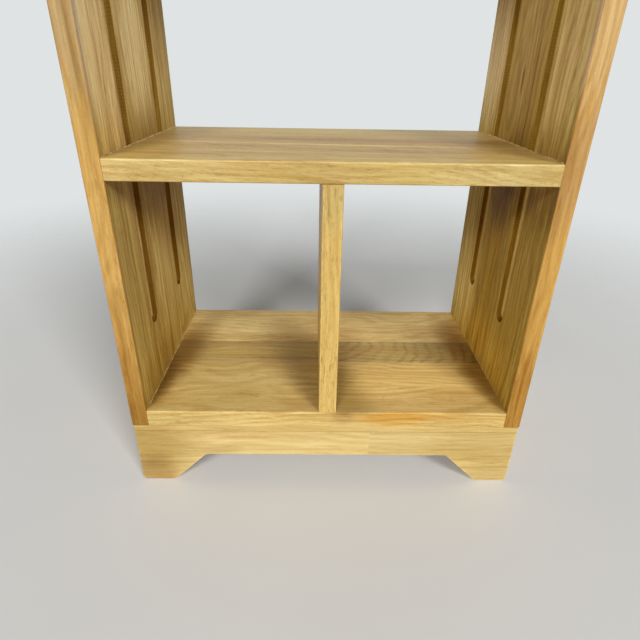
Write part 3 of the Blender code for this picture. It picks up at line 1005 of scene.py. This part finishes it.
@dataclass
class Board:
    """One glued-up board, which stands for the CAD node of the same place."""

    node: str
    finish: WoodFinish
    lay: Axis
    rows: tuple[Row, ...]
    eased: tuple[Axis, ...] = ()
    low: Vector = field(init=False)
    high: Vector = field(init=False)

    def __post_init__(self) -> None:
        """Takes the board's place from the frame."""
        self.low, self.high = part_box(self.node)

    def blank(self) -> Mesh:
        """Saws the board to size, with sharp edges."""
        return sawn_box(self.low, self.high)

    def rims(self, bm: Mesh) -> list[Edge]:
        """The edges that are rounded over: those along the eased axes."""
        return [e for e in bm.edges if any(self.runs_along(e, axis) for axis in self.eased)]

    @staticmethod
    def runs_along(edge: Edge, axis: Axis) -> bool:
        """Whether an edge runs along an axis."""
        along = (edge.verts[1].co - edge.verts[0].co).normalized()
        return abs(along.dot(axis.unit())) > RUNS_ALONG

    def ease(self, bm: Mesh) -> None:
        """Rounds the rims over, and marks the new faces.

        Args:
            bm: the board's mesh.
        """
        eased = bm.faces.layers.float.new(Mark.EASED.value)
        for face in round_over(bm, self.rims(bm), EDGE_EASE):
            face[eased] = 1.0

    @staticmethod
    def cut(bm: Mesh, faces: list[Facet], axis: Axis, at: float) -> None:
        """Splits faces along a plane.

        Args:
            bm: the board's mesh.
            faces: the faces to split.
            axis: the plane's normal.
            at: the plane's place on that axis.
        """
        edges = {edge for face in faces for edge in face.edges}
        verts = {vert for face in faces for vert in face.verts}
        bmesh.ops.bisect_plane(
            bm,
            geom=[*verts, *edges, *faces],
            dist=WELD,
            plane_co=axis.unit() * at,
            plane_no=axis.unit(),
        )

    def row_starts(self) -> list[float]:
        """Where each row begins, on the axis that the rows lie along.

        Returns:
            The places, in order.
        """
        starts = [self.low[self.lay.value]]
        for row in self.rows[:-1]:
            starts.append(starts[-1] + row.width)
        return starts

    def saw(self, bm: Mesh) -> None:
        """Splits the faces where rows meet, beside the glue lines and at finger joints.

        Args:
            bm: the board's mesh.
        """
        starts = self.row_starts()
        for row, start in zip(self.rows, starts[1:]):
            half = GLUE_LINE / 2 if row.glue else 0.0
            for at in sorted({start - half, start + half}):
                self.cut(bm, list(bm.faces), self.lay, at)
        for number, row in enumerate(self.rows):
            for stave in row.staves[:-1]:
                faces = [f for f in bm.faces if self.row_of(f.calc_center_median(), starts) == number]
                self.cut(bm, faces, self.finish.grain, stave.until)

    def row_of(self, point: Vector, starts: list[float]) -> int:
        """The number of the row that a point lies in."""
        return max(i for i, start in enumerate(starts) if i == 0 or point[self.lay.value] >= start)

    def place_in_log(self, number: int, stave: int, start: float) -> Vector:
        """Where in its log a stave was cut, as a shift from its place on the board.

        Args:
            number: the row's number.
            stave: the stave's number in its row.
            start: where the row begins.

        Returns:
            The shift in metres.
        """
        draw = random.Random(f"{self.node} {number} {stave}")
        heart = draw.uniform(*HEARTS)
        turn = draw.uniform(0.0, math.tau)
        middle = (self.low + self.high) / 2
        middle[self.lay.value] = start + self.rows[number].width / 2
        shift = -middle
        across = [axis for axis in Axis if axis != self.finish.grain]
        shift[across[0].value] += heart * math.cos(turn)
        shift[across[1].value] += heart * math.sin(turn)
        shift[self.finish.grain.value] += draw.uniform(*LENGTHS)
        return shift

    def slant_of(self, number: int, part: int) -> float:
        """How far a stave's grain runs aside for each metre along it.

        Args:
            number: the row's number.
            part: the stave's number in its row.

        Returns:
            The stave's own slant, or a drawn one.
        """
        wanted = self.rows[number].staves[part].slant
        drawn = random.Random(f"{self.node} {number} {part} slant").uniform(*SLANTS)
        return drawn if math.isnan(wanted) else wanted

    def mark(self, bm: Mesh) -> None:
        """Writes on each face which stave it belongs to and how it was worked.

        Args:
            bm: the board's mesh.
        """
        layers = {
            mark: bm.faces.layers.float.get(mark.value) or bm.faces.layers.float.new(mark.value)
            for mark in Mark
            if mark is not Mark.CUT
        }
        shift = bm.faces.layers.float_vector.new(Mark.CUT.value)
        starts = self.row_starts()
        grain = self.finish.grain
        for face in bm.faces:
            middle = face.calc_center_median()
            number = self.row_of(middle, starts)
            row = self.rows[number]
            part = next(i for i, stave in enumerate(row.staves) if middle[grain.value] <= stave.until)
            stave = row.staves[part]
            face[shift] = self.place_in_log(number, part, starts[number])
            face[layers[Mark.TONE]] = stave.tone
            face[layers[Mark.BLUSH]] = stave.blush
            face[layers[Mark.CURL]] = stave.curl
            face[layers[Mark.SLANT]] = self.slant_of(number, part)
            face[layers[Mark.END]] = float(abs(face.normal.dot(grain.unit())) > LOOKS_ALONG)
            face[layers[Mark.EDGE]] = float(abs(face.normal.dot(self.lay.unit())) > LOOKS_ALONG)
            for before, start in zip(self.rows, starts[1:]):
                if before.glue and abs(middle[self.lay.value] - start) < GLUE_LINE / 2:
                    face[layers[Mark.GLUE]] = before.glue

    def bores(self) -> list[tuple[Fastener, Vector, Vector]]:
        """Finds the fasteners that enter the board.

        Returns:
            Each one's kind, with the corners of its box.
        """
        found = []
        for name in frame["nodes"]:
            kind = next((k for k in Fastener if k.word in name), None)
            if kind is None:
                continue
            low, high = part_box(name)
            if all(low[i] < self.high[i] and high[i] > self.low[i] for i in range(3)):
                found.append((kind, low, high))
        return found

    def drill(self, piece: Piece) -> None:
        """Cuts the fasteners' holes into the finished board.

        Args:
            piece: the board's object.
        """
        bores = self.bores()
        if not bores:
            return
        bm = bmesh.new()
        routed = bm.faces.layers.float.new(Mark.ROUTED.value)
        for kind, low, high in bores:
            size = high - low
            along = longest(size)
            turn = Axis.Z.unit().rotation_difference(along.unit()).to_matrix().to_4x4()
            bmesh.ops.create_cone(
                bm,
                cap_ends=True,
                segments=BORE_STEPS,
                radius1=kind.hole / 2,
                radius2=kind.hole / 2,
                depth=size[along.value] + 4 * JOINT_GAP,
                matrix=Matrix.Translation((low + high) / 2) @ turn,
            )
        for face in bm.faces:
            face[routed] = 1.0
        cutter = new_piece(f"{self.node}_bores", bm)
        bore = piece.modifiers.new("bores", "BOOLEAN")
        bore.operation = "DIFFERENCE"
        bore.solver = "EXACT"
        bore.object = cutter
        graph = bpy.context.evaluated_depsgraph_get()
        piece.data = bpy.data.meshes.new_from_object(piece.evaluated_get(graph))
        piece.modifiers.remove(bore)
        bpy.data.objects.remove(cutter, do_unlink=True)

    def build(self) -> Piece:
        """Makes the board and dresses it.

        Returns:
            The finished piece.
        """
        bm = self.blank()
        self.ease(bm)
        self.saw(bm)
        self.mark(bm)
        piece = new_piece(f"{self.node}_board", bm)
        self.drill(piece)
        smooth(piece)
        flat = piece.modifiers.new("flat_faces", "WEIGHTED_NORMAL")
        flat.keep_sharp = True
        dress(piece, self.finish)
        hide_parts(self.node)
        return piece


def round_over(bm: Mesh, edges: list[Edge], width: float) -> list[Facet]:
    """Rounds edges over.

    Args:
        bm: the mesh.
        edges: the edges to round.
        width: how far the rounding reaches onto each side.

    Returns:
        The new faces.
    """
    rounded = bmesh.ops.bevel(
        bm,
        geom=edges,
        offset=width,
        segments=EASE_SEGMENTS,
        profile=0.5,
        affect="EDGES",
        material=-1,
        loop_slide=False,
    )
    return rounded["faces"]


def new_piece(name: str, bm: Mesh) -> Piece:
    """Turns a finished mesh into an object in the scene.

    Args:
        name: the object's name.
        bm: its mesh, which is used up.

    Returns:
        The object, at the origin.
    """
    mesh = bpy.data.meshes.new(name)
    bm.to_mesh(mesh)
    bm.free()
    piece = bpy.data.objects.new(name, mesh)
    bpy.context.scene.collection.objects.link(piece)
    return piece


MATERIALS: dict[str, bpy.types.Material] = {}


def dress(piece: Piece, finish: WoodFinish | SteelFinish | BeadFinish) -> None:
    """Gives a piece its finish and ties it to the bookcase.

    Args:
        piece: the piece to dress.
        finish: its finish.
    """
    if finish.name not in MATERIALS:
        MATERIALS[finish.name] = finish.material()
    piece.data.materials.clear()
    piece.data.materials.append(MATERIALS[finish.name])
    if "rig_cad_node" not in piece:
        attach(piece, BODY)


@dataclass
class SidePanel(Board):
    """An upright panel with two long slots through it."""

    slot_width: float = 0.018
    slot_margin: float = 0.0585
    slot_end: float = 0.087
    slot_low_end: float = 0.087
    slot_ease: float = 0.0005

    def draw_slot(self, bm: Mesh, middle: float) -> None:
        """Draws one round-ended slot on the panel's left face.

        Args:
            bm: the panel's mesh.
            middle: the slot's place on Y.
        """
        radius = self.slot_width / 2
        ends = []
        for height, side in ((self.low.z + self.slot_low_end, -1), (self.high.z - self.slot_end, 1)):
            centre = Vector((self.low.x, middle, height - side * radius))
            start = bm.verts.new(centre - Vector((0.0, side * radius, 0.0)))
            arc = bmesh.ops.spin(
                bm,
                geom=[start],
                cent=centre,
                axis=-Axis.X.unit(),
                angle=math.pi,
                steps=2 * ARC_STEPS,
            )
            ends.append((start, only(Vert, arc["geom_last"])[0]))
        (low_start, low_finish), (high_start, high_finish) = ends
        bm.edges.new((low_finish, high_start))
        bm.edges.new((high_finish, low_start))

    def blank(self) -> Mesh:
        """Saws the panel to size, with its slots.

        Returns:
            A mesh with sharp edges, in place.
        """
        bm = bmesh.new()
        corners = [
            bm.verts.new((self.low.x, y, z))
            for y, z in (
                (self.low.y, self.low.z),
                (self.high.y, self.low.z),
                (self.high.y, self.high.z),
                (self.low.y, self.high.z),
            )
        ]
        for first, second in zip(corners, corners[1:] + corners[:1]):
            bm.edges.new((first, second))
        inset = self.slot_margin + self.slot_width / 2
        for middle in (self.low.y + inset, self.high.y - inset):
            self.draw_slot(bm, middle)
        bmesh.ops.triangle_fill(bm, use_beauty=True, use_dissolve=False, edges=list(bm.edges))
        thicken(bm, (self.high.x - self.low.x, 0.0, 0.0))
        routed = bm.faces.layers.float.new(Mark.ROUTED.value)
        for face in bm.faces:
            middle = face.calc_center_median()
            inside = self.within(middle) and self.low.z + WELD < middle.z < self.high.z - WELD
            face[routed] = float(inside and abs(face.normal.x) < LOOKS_ALONG)
        return bm

    def rims(self, bm: Mesh) -> list[Edge]:
        """The panel's front and back rims, but not those of its butted ends."""
        return [edge for edge in super().rims(bm) if not self.within(edge.verts[0].co)]

    def within(self, point: Vector) -> bool:
        """Whether a point lies between the panel's front and back edges."""
        return self.low.y + WELD < point.y < self.high.y - WELD

    def ease(self, bm: Mesh) -> None:
        """Rounds the rims over, and those of the slots a little.

        Args:
            bm: the panel's mesh.
        """
        slots = [
            edge
            for edge in bm.edges
            if all(self.within(vert.co) for vert in edge.verts)
            and abs(edge.verts[0].co.x - edge.verts[1].co.x) < WELD
            and edge.calc_face_angle() > RIM_ANGLE
        ]
        round_over(bm, slots, self.slot_ease)
        super().ease(bm)


@dataclass
class BottomBoard(Board):
    """The board that lies on the plinth."""

    def rims(self, bm: Mesh) -> list[Edge]:
        """The upper rims alone, because the lower ones close the joint with the plinth."""
        return [e for e in super().rims(bm) if e.verts[0].co.z > self.low.z + WELD]


@dataclass
class PlinthFront(Board):
    """The plinth's front board, cut out to two bracket feet."""

    foot_width: float = 0.0355
    arch_height: float = 0.036
    slope_run: float = 0.0365
    arch_radii: Pair = (0.009, 0.005)
    foot_inner_radius: float = 0.012
    foot_outer_radius: float = 0.0042

    def blank(self) -> Mesh:
        """Saws the board to its outline.

        Returns:
            A mesh with sharp edges, in place.
        """
        half = self.high.x
        foot = half - self.foot_width
        arch = foot - self.slope_run
        floor = self.low.z
        slope = math.atan2(self.arch_height, self.slope_run)
        left, right = (
            [
                (sign * half, floor, self.foot_outer_radius),
                (sign * foot, floor, self.foot_inner_radius * math.tan(slope / 2)),
                (sign * arch, floor + self.arch_height, radius * math.tan(slope / 2)),
            ]
            for sign, radius in zip((-1.0, 1.0), self.arch_radii)
        )
        top = [(-half, self.high.z, 0.0), (half, self.high.z, 0.0)]
        bm = bmesh.new()
        outline = [*right, *reversed(left), *top]
        verts = [bm.verts.new((x, self.low.y, z)) for x, z, _ in outline]
        bm.faces.new(verts)
        for vert, (_, _, setback) in zip(verts, outline):
            if setback:
                bmesh.ops.bevel(
                    bm,
                    geom=[vert],
                    offset=setback,
                    segments=ARC_STEPS,
                    profile=0.5,
                    affect="VERTICES",
                    material=-1,
                )
        thicken(bm, (0.0, self.high.y - self.low.y, 0.0))
        return bm

    def rims(self, bm: Mesh) -> list[Edge]:
        """The rims of the board's two faces, but not along its top, which carries the case.

        Args:
            bm: the board's mesh.

        Returns:
            The edges that are rounded over.
        """
        found = []
        for edge in bm.edges:
            first, second = (vert.co for vert in edge.verts)
            on_one_face = abs(first.y - second.y) < WELD
            on_top = all(abs(co.z - self.high.z) < WELD for co in (first, second))
            if on_one_face and not on_top and edge.calc_face_angle() > RIM_ANGLE:
                found.append(edge)
        return found


@dataclass(frozen=True)
class PanelLook:
    """How one side panel differs from the other: its wood, its front edge and its slots' lower ends."""

    wood: WoodFinish
    edge: Colour
    upper_edge: Colour
    lower_reach: float
    red: float
    slot_low_end: float


@dataclass
class Carcass:
    """The case above the plinth: side panels, boards between and over them, and the divider."""

    side_rows: tuple[float, ...] = (0.062, 0.040, 0.052, 0.046, 0.038)
    side_tones: Pair = (-0.08, 0.05)
    side_blushes: Pair = (0.0, 0.1)
    side_glue: float = 0.3
    left: PanelLook = PanelLook(
        wood=LEFT_WOOD,
        edge=(1.10, 0.95, 1.02),
        upper_edge=(0.80, 0.88, 1.28),
        lower_reach=0.20,
        red=0.35,
        slot_low_end=0.087,
    )
    right: PanelLook = PanelLook(
        wood=RIGHT_WOOD,
        edge=(1.18, 0.98, 1.24),
        upper_edge=(1.12, 1.26, 2.05),
        lower_reach=0.14,
        red=0.2,
        slot_low_end=0.091,
    )
    red_tint: Colour = (1.0, 0.86, 0.72)
    lower_tint: Colour = (0.68, 0.60, 0.44)
    outer_tint: Colour = (1.09, 0.94, 1.0)
    board_row: float = 0.049

    def edge_stains(self, look: PanelLook, low: Vector, high: Vector, outer: float) -> tuple[TintPatch, ...]:
        """The patches on a side panel's front edge and outer face.

        Args:
            look: the panel's look.
            low: the panel's corner with the lowest coordinates.
            high: its corner with the highest ones.
            outer: the place of its outer face.

        Returns:
            The edge's own tint, red along its outer side, its darker foot, its upper part and the outer face.
        """
        middle = (low.x + high.x) / 2
        return (
            RIM_FRONT.tint_patch((middle, 0.42), (0.05, 3.0), look.edge),
            FRONT.tint_patch((outer, 0.35), (0.006, 0.60), self.red_tint, look.red),
            DEEP_FRONT.tint_patch((middle, low.z), (0.03, look.lower_reach), self.lower_tint),
            DEEP_FRONT.tint_patch((middle, 0.52), (0.03, 0.170), look.upper_edge, soft=0.6),
            TintPatch((outer, 0.0, 0.45), (FACE_ONLY, 1.0, 2.0), self.outer_tint),
        )

    def side_panels(self) -> list[Board]:
        """The two side panels.

        Returns:
            The panels, ready to build.
        """
        panels = []
        for node, look in (("left_side_panel", self.left), ("right_side_panel", self.right)):
            draw = random.Random(node)
            rows = tuple(
                Row(width, (drawn_stave(draw, self.side_tones, self.side_blushes),), self.side_glue)
                for width in self.side_rows
            )
            low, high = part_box(node)
            inner, outer = sorted((low.x, high.x), key=abs)
            tint_patches = (*self.edge_stains(look, low, high, outer), *look.wood.tint_patches)
            finish = replace(look.wood, routed_face=abs(inner), tint_patches=tint_patches)
            panels.append(SidePanel(node, finish, Axis.Y, rows, (Axis.Z,), slot_low_end=look.slot_low_end))
        return panels

    def boards(self) -> list[Board]:
        """The bottom board, the shelves and the top board.

        Returns:
            The boards, ready to build.
        """
        bottom_rows = (
            Row(0.0485, (Stave(tone=0.11),)),
            Row(0.0485, (Stave(0.0, 0.04, 0.1), Stave(tone=0.14)), 0.2),
            Row(0.050, (Stave(0.0, -0.13, 0.2), Stave(tone=-0.22, blush=0.2, curl=1.0)), 0.2),
            Row(0.049, (Stave(0.0, 0.18, 0.15), Stave(tone=0.22))),
            Row(0.042, (Stave(0.0, 0.22, 0.2), Stave(tone=0.26))),
        )
        shelf_rows = (
            Row(0.050, (Stave(tone=0.05, blush=0.1, slant=0.06),)),
            Row(0.050, (Stave(tone=-0.01, blush=0.3, slant=0.09),)),
            Row(0.049, (Stave(tone=-0.04, blush=0.5, slant=0.09),)),
            Row(0.049, (Stave(tone=0.0, blush=0.2, slant=0.07),)),
            Row(0.040, (Stave(tone=0.04, blush=0.1, slant=0.05),)),
        )
        bottom = replace(
            SHELF_WOOD,
            name="bottom_board_wood",
            colour=linear(208, 181, 112),
            figure=1.35,
            edge_figure=1.25,
            ring_share=0.28,
            knot=(0.012, 0.030, BOTTOM_TOP.at),
            gloss=0.20,
            lacquer=0.04,
            tint_patches=BOTTOM_STAINS_AND_PAINTED_LIGHT,
        )
        shelf = replace(SHELF_WOOD, name="middle_shelf_wood", tint_patches=SHELF_STAINS_AND_PAINTED_SHEEN)
        upper_rows, top_rows = (plain_rows(name, 5, self.board_row) for name in ("upper_shelf", "top_board"))
        return [
            BottomBoard("bottom_board", bottom, Axis.Y, bottom_rows, (Axis.X,)),
            Board("middle_shelf", shelf, Axis.Y, shelf_rows, (Axis.X,)),
            Board("upper_shelf", SHELF_WOOD, Axis.Y, upper_rows, (Axis.X,)),
            Board("top_board", SHELF_WOOD, Axis.Y, top_rows, tuple(Axis)),
        ]

    def divider(self) -> Board:
        """The upright board in the lowest bay."""
        return Board("divider", DIVIDER_WOOD, Axis.Y, plain_rows("divider", 5, self.board_row), (Axis.Z,))

    def build(self) -> list[Piece]:
        """Builds every board of the case.

        Returns:
            The pieces.
        """
        return [board.build() for board in (*self.side_panels(), *self.boards(), self.divider())]


@dataclass
class Plinth:
    """The plinth frame under the case, with its corner braces."""

    strip: float = 0.038
    middle: float = 0.0305
    lip: float = 0.0065

    def build(self) -> list[Piece]:
        """Builds the plinth's boards and dresses its braces.

        Returns:
            The pieces.
        """
        rows = (
            Row(self.strip, (Stave(0.0, -0.04, slant=0.0), Stave(tone=-0.02, slant=0.0)), 0.1),
            Row(self.middle, (Stave(0.045, 0.0, slant=0.0), Stave(tone=-0.08, slant=0.0)), 0.8),
            Row(self.lip, (Stave(tone=0.03, slant=0.0),)),
        )
        front_wood = replace(PLINTH_WOOD, name="plinth_front_wood", tint_patches=PLINTH_STAINS)
        boards = [
            PlinthFront("plinth_front", front_wood, Axis.Z, rows),
            Board("plinth_back", PLINTH_WOOD, Axis.Z, plain_rows("plinth_back", 2, self.strip), (Axis.Z,)),
        ]
        side_wood = replace(PLINTH_WOOD, name="plinth_side_wood", grain=Axis.Y)
        for node in ("plinth_left", "plinth_right"):
            boards.append(Board(node, side_wood, Axis.Z, plain_rows(node, 2, self.strip), (Axis.Y,)))
        braces = [node for name, node in frame["nodes"].items() if "corner_brace" in name]
        for brace in braces:
            dress(brace, BRACE_WOOD)
        return [board.build() for board in boards] + braces


@dataclass
class JointBeads:
    """Dried glue and lacquer in the joints: seams between the boards, and beads along the side panels."""

    step: float = 0.003
    leg: float = 0.0012
    section: tuple[Pair, ...] = ((0.0, 0.0), (1.0, 0.0), (0.36, 0.36), (0.0, 1.0))
    swell: Pair = (0.30, 1.15)
    clearance: float = 0.00005
    setback: float = 0.0002
    joints: tuple[tuple[str, tuple[str, ...]], ...] = (
        ("bottom_board", ("left",)),
        ("middle_shelf", ("left", "right")),
        ("upper_shelf", ("left", "right")),
    )

    def bead(self, name: str, corner: Vector, inward: float, length: float) -> Piece:
        """Runs one bead along a joint, thick and thin by turns.

        Args:
            name: the bead's name.
            corner: the joint's front end.
            inward: 1 where the board lies to the right of the joint, or -1.
            length: the bead's length.

        Returns:
            The finished piece.
        """
        draw = random.Random(name)
        bm = bmesh.new()
        points = [corner + Vector((inward * x, 0.0, z)) * self.leg for x, z in self.section]
        face = bm.faces.new([bm.verts.new(point) for point in points])
        size = 1.0
        for number in range(1, int(length / self.step)):
            grown = bmesh.ops.extrude_face_region(bm, geom=[face])
            face = only(Facet, grown["geom"])[0]
            wanted = draw.uniform(*self.swell)
            at = corner + Vector((0.0, (number - 1) * self.step, 0.0))
            verts = list(face.verts)
            bmesh.ops.scale(bm, vec=Vector.Fill(3, wanted / size), space=Matrix.Translation(-at), verts=verts)
            bmesh.ops.translate(bm, vec=(0.0, self.step, 0.0), verts=verts)
            size = wanted
        bmesh.ops.recalc_face_normals(bm, faces=bm.faces)
        piece = new_piece(name, bm)
        smooth(piece)
        dress(piece, BeadFinish())
        return piece

    def seam(self, first: str, second: str, across: Axis) -> Piece:
        """Fills the gap between two boards.

        Args:
            first: the board on the gap's lower side.
            second: the board on its upper side.
            across: the axis that the gap lies across.

        Returns:
            The finished piece.
        """
        (first_low, first_high), (second_low, second_high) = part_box(first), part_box(second)
        low = Vector(max(pair) for pair in zip(first_low, second_low))
        high = Vector(min(pair) for pair in zip(first_high, second_high))
        low[across.value], high[across.value] = first_high[across.value], second_low[across.value]
        for axis in Axis:
            margin = self.clearance if axis == across else self.setback
            low[axis.value] += margin
            high[axis.value] -= margin
        piece = new_piece(f"{first}_{second}_seam", sawn_box(low, high))
        dress(piece, BeadFinish())
        return piece

    def build(self) -> list[Piece]:
        """Fills each gap, and runs a bead along each joint that has one.

        Returns:
            The pieces.
        """
        made = [
            self.seam("bottom_board", "divider", Axis.Z),
            self.seam("divider", "middle_shelf", Axis.Z),
            self.seam("plinth_front", "bottom_board", Axis.Z),
        ]
        for board, _ in self.joints:
            made.append(self.seam("left_side_panel", board, Axis.X))
            made.append(self.seam(board, "right_side_panel", Axis.X))
        for board, sides in self.joints:
            low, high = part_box(board)
            ends = {"left": (low.x - JOINT_GAP, 1.0), "right": (high.x + JOINT_GAP, -1.0)}
            for side in sides:
                x, inward = ends[side]
                corner = Vector((x + inward * self.clearance, low.y + 2 * EDGE_EASE, high.z + self.clearance))
                length = high.y - low.y - 4 * EDGE_EASE
                made.append(self.bead(f"{board}_bead_{side}", corner, inward, length))
        return made


@dataclass
class Fastenings:
    """The dowels in the joints and the screws in the braces, which keep their solids."""

    def build(self) -> list[Piece]:
        """Dresses every dowel and screw.

        Returns:
            The pieces.
        """
        made = []
        for name, node in frame["nodes"].items():
            if Fastener.DOWEL.word in name:
                low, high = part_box(name)
                along = longest(high - low)
                dress(node, replace(DOWEL_WOOD, name=f"dowel_wood_{along.name.lower()}", grain=along))
                made.append(node)
            elif Fastener.SCREW.word in name:
                dress(node, SteelFinish())
                made.append(node)
        return made


@dataclass
class Studio:
    """A pale floor, soft light from the front on both sides, and the camera."""

    floor_radius: float = 6.0
    floor_colour: Colour = (0.80, 0.80, 0.79)
    floor_dim: float = 0.97
    floor_roughness: float = 0.7
    floor_fade: Pair = (0.30, 1.5)
    backdrop: Colour = (0.74, 0.77, 0.77)
    fill_colour: Colour = (1.0, 1.0, 0.96)
    fill_back: float = 0.22
    fill_top: float = 0.12
    light_distance: float = 8.0
    light_size: float = 2.1
    light_height: float = 31.0
    left_turn: float = -17.0
    right_turn: float = 30.0
    left_power: float = 350.0
    right_power: float = 340.0
    target: Triple = (0.0, -0.05, 0.30)
    camera_place: Triple = (-0.0153, -0.5226, 0.4085)
    camera_pitch: float = 27.268
    camera_yaw: float = 0.8804
    camera_roll: float = -0.9529
    lens: float = 27.53
    sensor: float = 36.0

    def floor(self) -> Piece:
        """A pale round floor that fades into the backdrop far from the object.

        Returns:
            The floor.
        """
        bm = bmesh.new()
        lift = Matrix.Translation((0.0, 0.0, -JOINT_GAP))
        radius = self.floor_radius
        bmesh.ops.create_circle(bm, cap_ends=True, segments=FLOOR_STEPS, radius=radius, matrix=lift)
        piece = new_piece("floor", bm)
        sheet = FinishSheet("floor")
        mottle = sheet.noise(sheet.place, (3.0, 3.0, 3.0), detail=3.0)
        away = sheet.vector("LENGTH", sheet.place)
        dim = tuple(self.floor_dim * share for share in self.floor_colour)
        sheet.set("Base Color", sheet.blend(sheet.spread(mottle, 0.3, 0.7), self.floor_colour, dim))
        sheet.set("Roughness", self.floor_roughness)
        sheet.set("Alpha", sheet.spread(away, *self.floor_fade, 1.0, 0.0))
        piece.data.materials.append(sheet.material)
        return piece

    def glow(self, sheet: NodeSheet) -> Socket:
        """The fill's strength by direction: most of it comes from behind and from above.

        Args:
            sheet: the world's node sheet.

        Returns:
            The strength's socket.
        """
        way = sheet.tree.nodes.new("ShaderNodeTexCoord").outputs["Generated"]
        total: Value = 0.0
        for axis, strength in ((Axis.Y, self.fill_back), (Axis.Z, self.fill_top)):
            facing = sheet.spread(sheet.along(way, axis), 0.1, 0.8)
            total = sheet.total(total, (facing, strength))
        return total

    def world(self) -> None:
        """A pale backdrop for the camera and for gloss, and a weaker fill for everything else."""
        world = bpy.data.worlds.new("studio")
        world.use_nodes = True
        bpy.context.scene.world = world
        sheet = NodeSheet(world.node_tree)
        nodes = sheet.tree.nodes
        fill, seen = nodes["Background"], nodes.new("ShaderNodeBackground")
        sheet.put(fill.inputs["Color"], self.fill_colour)
        sheet.put(fill.inputs["Strength"], self.glow(sheet))
        sheet.put(seen.inputs["Color"], self.backdrop)
        path = nodes.new("ShaderNodeLightPath")
        share = path.outputs["Is Camera Ray"]
        for name in ("Is Glossy Ray", "Is Transmission Ray"):
            share = sheet.math("MAXIMUM", share, path.outputs[name])
        mix = nodes.new("ShaderNodeMixShader")
        sheet.put(mix.inputs["Fac"], share)
        sheet.put(mix.inputs[1], fill.outputs["Background"])
        sheet.put(mix.inputs[2], seen.outputs["Background"])
        sheet.put(nodes["World Output"].inputs["Surface"], mix.outputs["Shader"])

    def lamp(self, name: str, turn: float, power: float) -> None:
        """Hangs one soft square lamp.

        Args:
            name: the lamp's name.
            turn: its bearing in degrees, to the right of straight ahead.
            power: its power in watts.
        """
        lamp = bpy.data.lights.new(name, "AREA")
        lamp.energy = power
        lamp.size = self.light_size
        bearing, rise = math.radians(turn), math.radians(self.light_height)
        away = Vector(
            (math.sin(bearing) * math.cos(rise), -math.cos(bearing) * math.cos(rise), math.sin(rise))
        )
        hung = bpy.data.objects.new(name, lamp)
        hung.location = Vector(self.target) + away * self.light_distance
        hung.rotation_euler = away.to_track_quat("Z", "Y").to_euler()
        bpy.context.scene.collection.objects.link(hung)

    def camera(self) -> None:
        """Sets the camera where the photograph was taken from."""
        pitch, yaw, roll = (
            math.radians(angle) for angle in (self.camera_pitch, self.camera_yaw, self.camera_roll)
        )
        ahead = Vector((math.sin(yaw) * math.cos(pitch), math.cos(yaw) * math.cos(pitch), -math.sin(pitch)))
        level = Vector((math.cos(yaw), -math.sin(yaw), 0.0))
        down = ahead.cross(level)
        across = math.cos(roll) * level + math.sin(roll) * down
        down = math.cos(roll) * down - math.sin(roll) * level
        turn = Matrix((across, -down, -ahead)).transposed().to_4x4()
        data = bpy.data.cameras.new("camera")
        data.lens = self.lens
        data.sensor_width = self.sensor
        data.clip_start = 0.01
        camera = bpy.data.objects.new("camera", data)
        camera.matrix_world = Matrix.Translation(self.camera_place) @ turn
        bpy.context.scene.collection.objects.link(camera)
        bpy.context.scene.camera = camera

    def build(self) -> list[Piece]:
        """Sets the studio up.

        Returns:
            The floor, which is its only mesh.
        """
        self.world()
        self.lamp("left_lamp", self.left_turn, self.left_power)
        self.lamp("right_lamp", self.right_turn, self.right_power)
        self.camera()
        bpy.context.scene.view_settings.view_transform = "Standard"
        return [self.floor()]


def main() -> None:
    """Builds the sub-assemblies in order and reports each piece."""
    logging.basicConfig(level=logging.INFO, format="%(name)s: %(message)s")
    for assembly in (Carcass(), Plinth(), JointBeads(), Fastenings(), Studio()):
        for piece in assembly.build():
            LOG.info("%s: %s, %d faces", type(assembly).__name__, piece.name, len(piece.data.polygons))


if __name__ == "__main__":
    main()
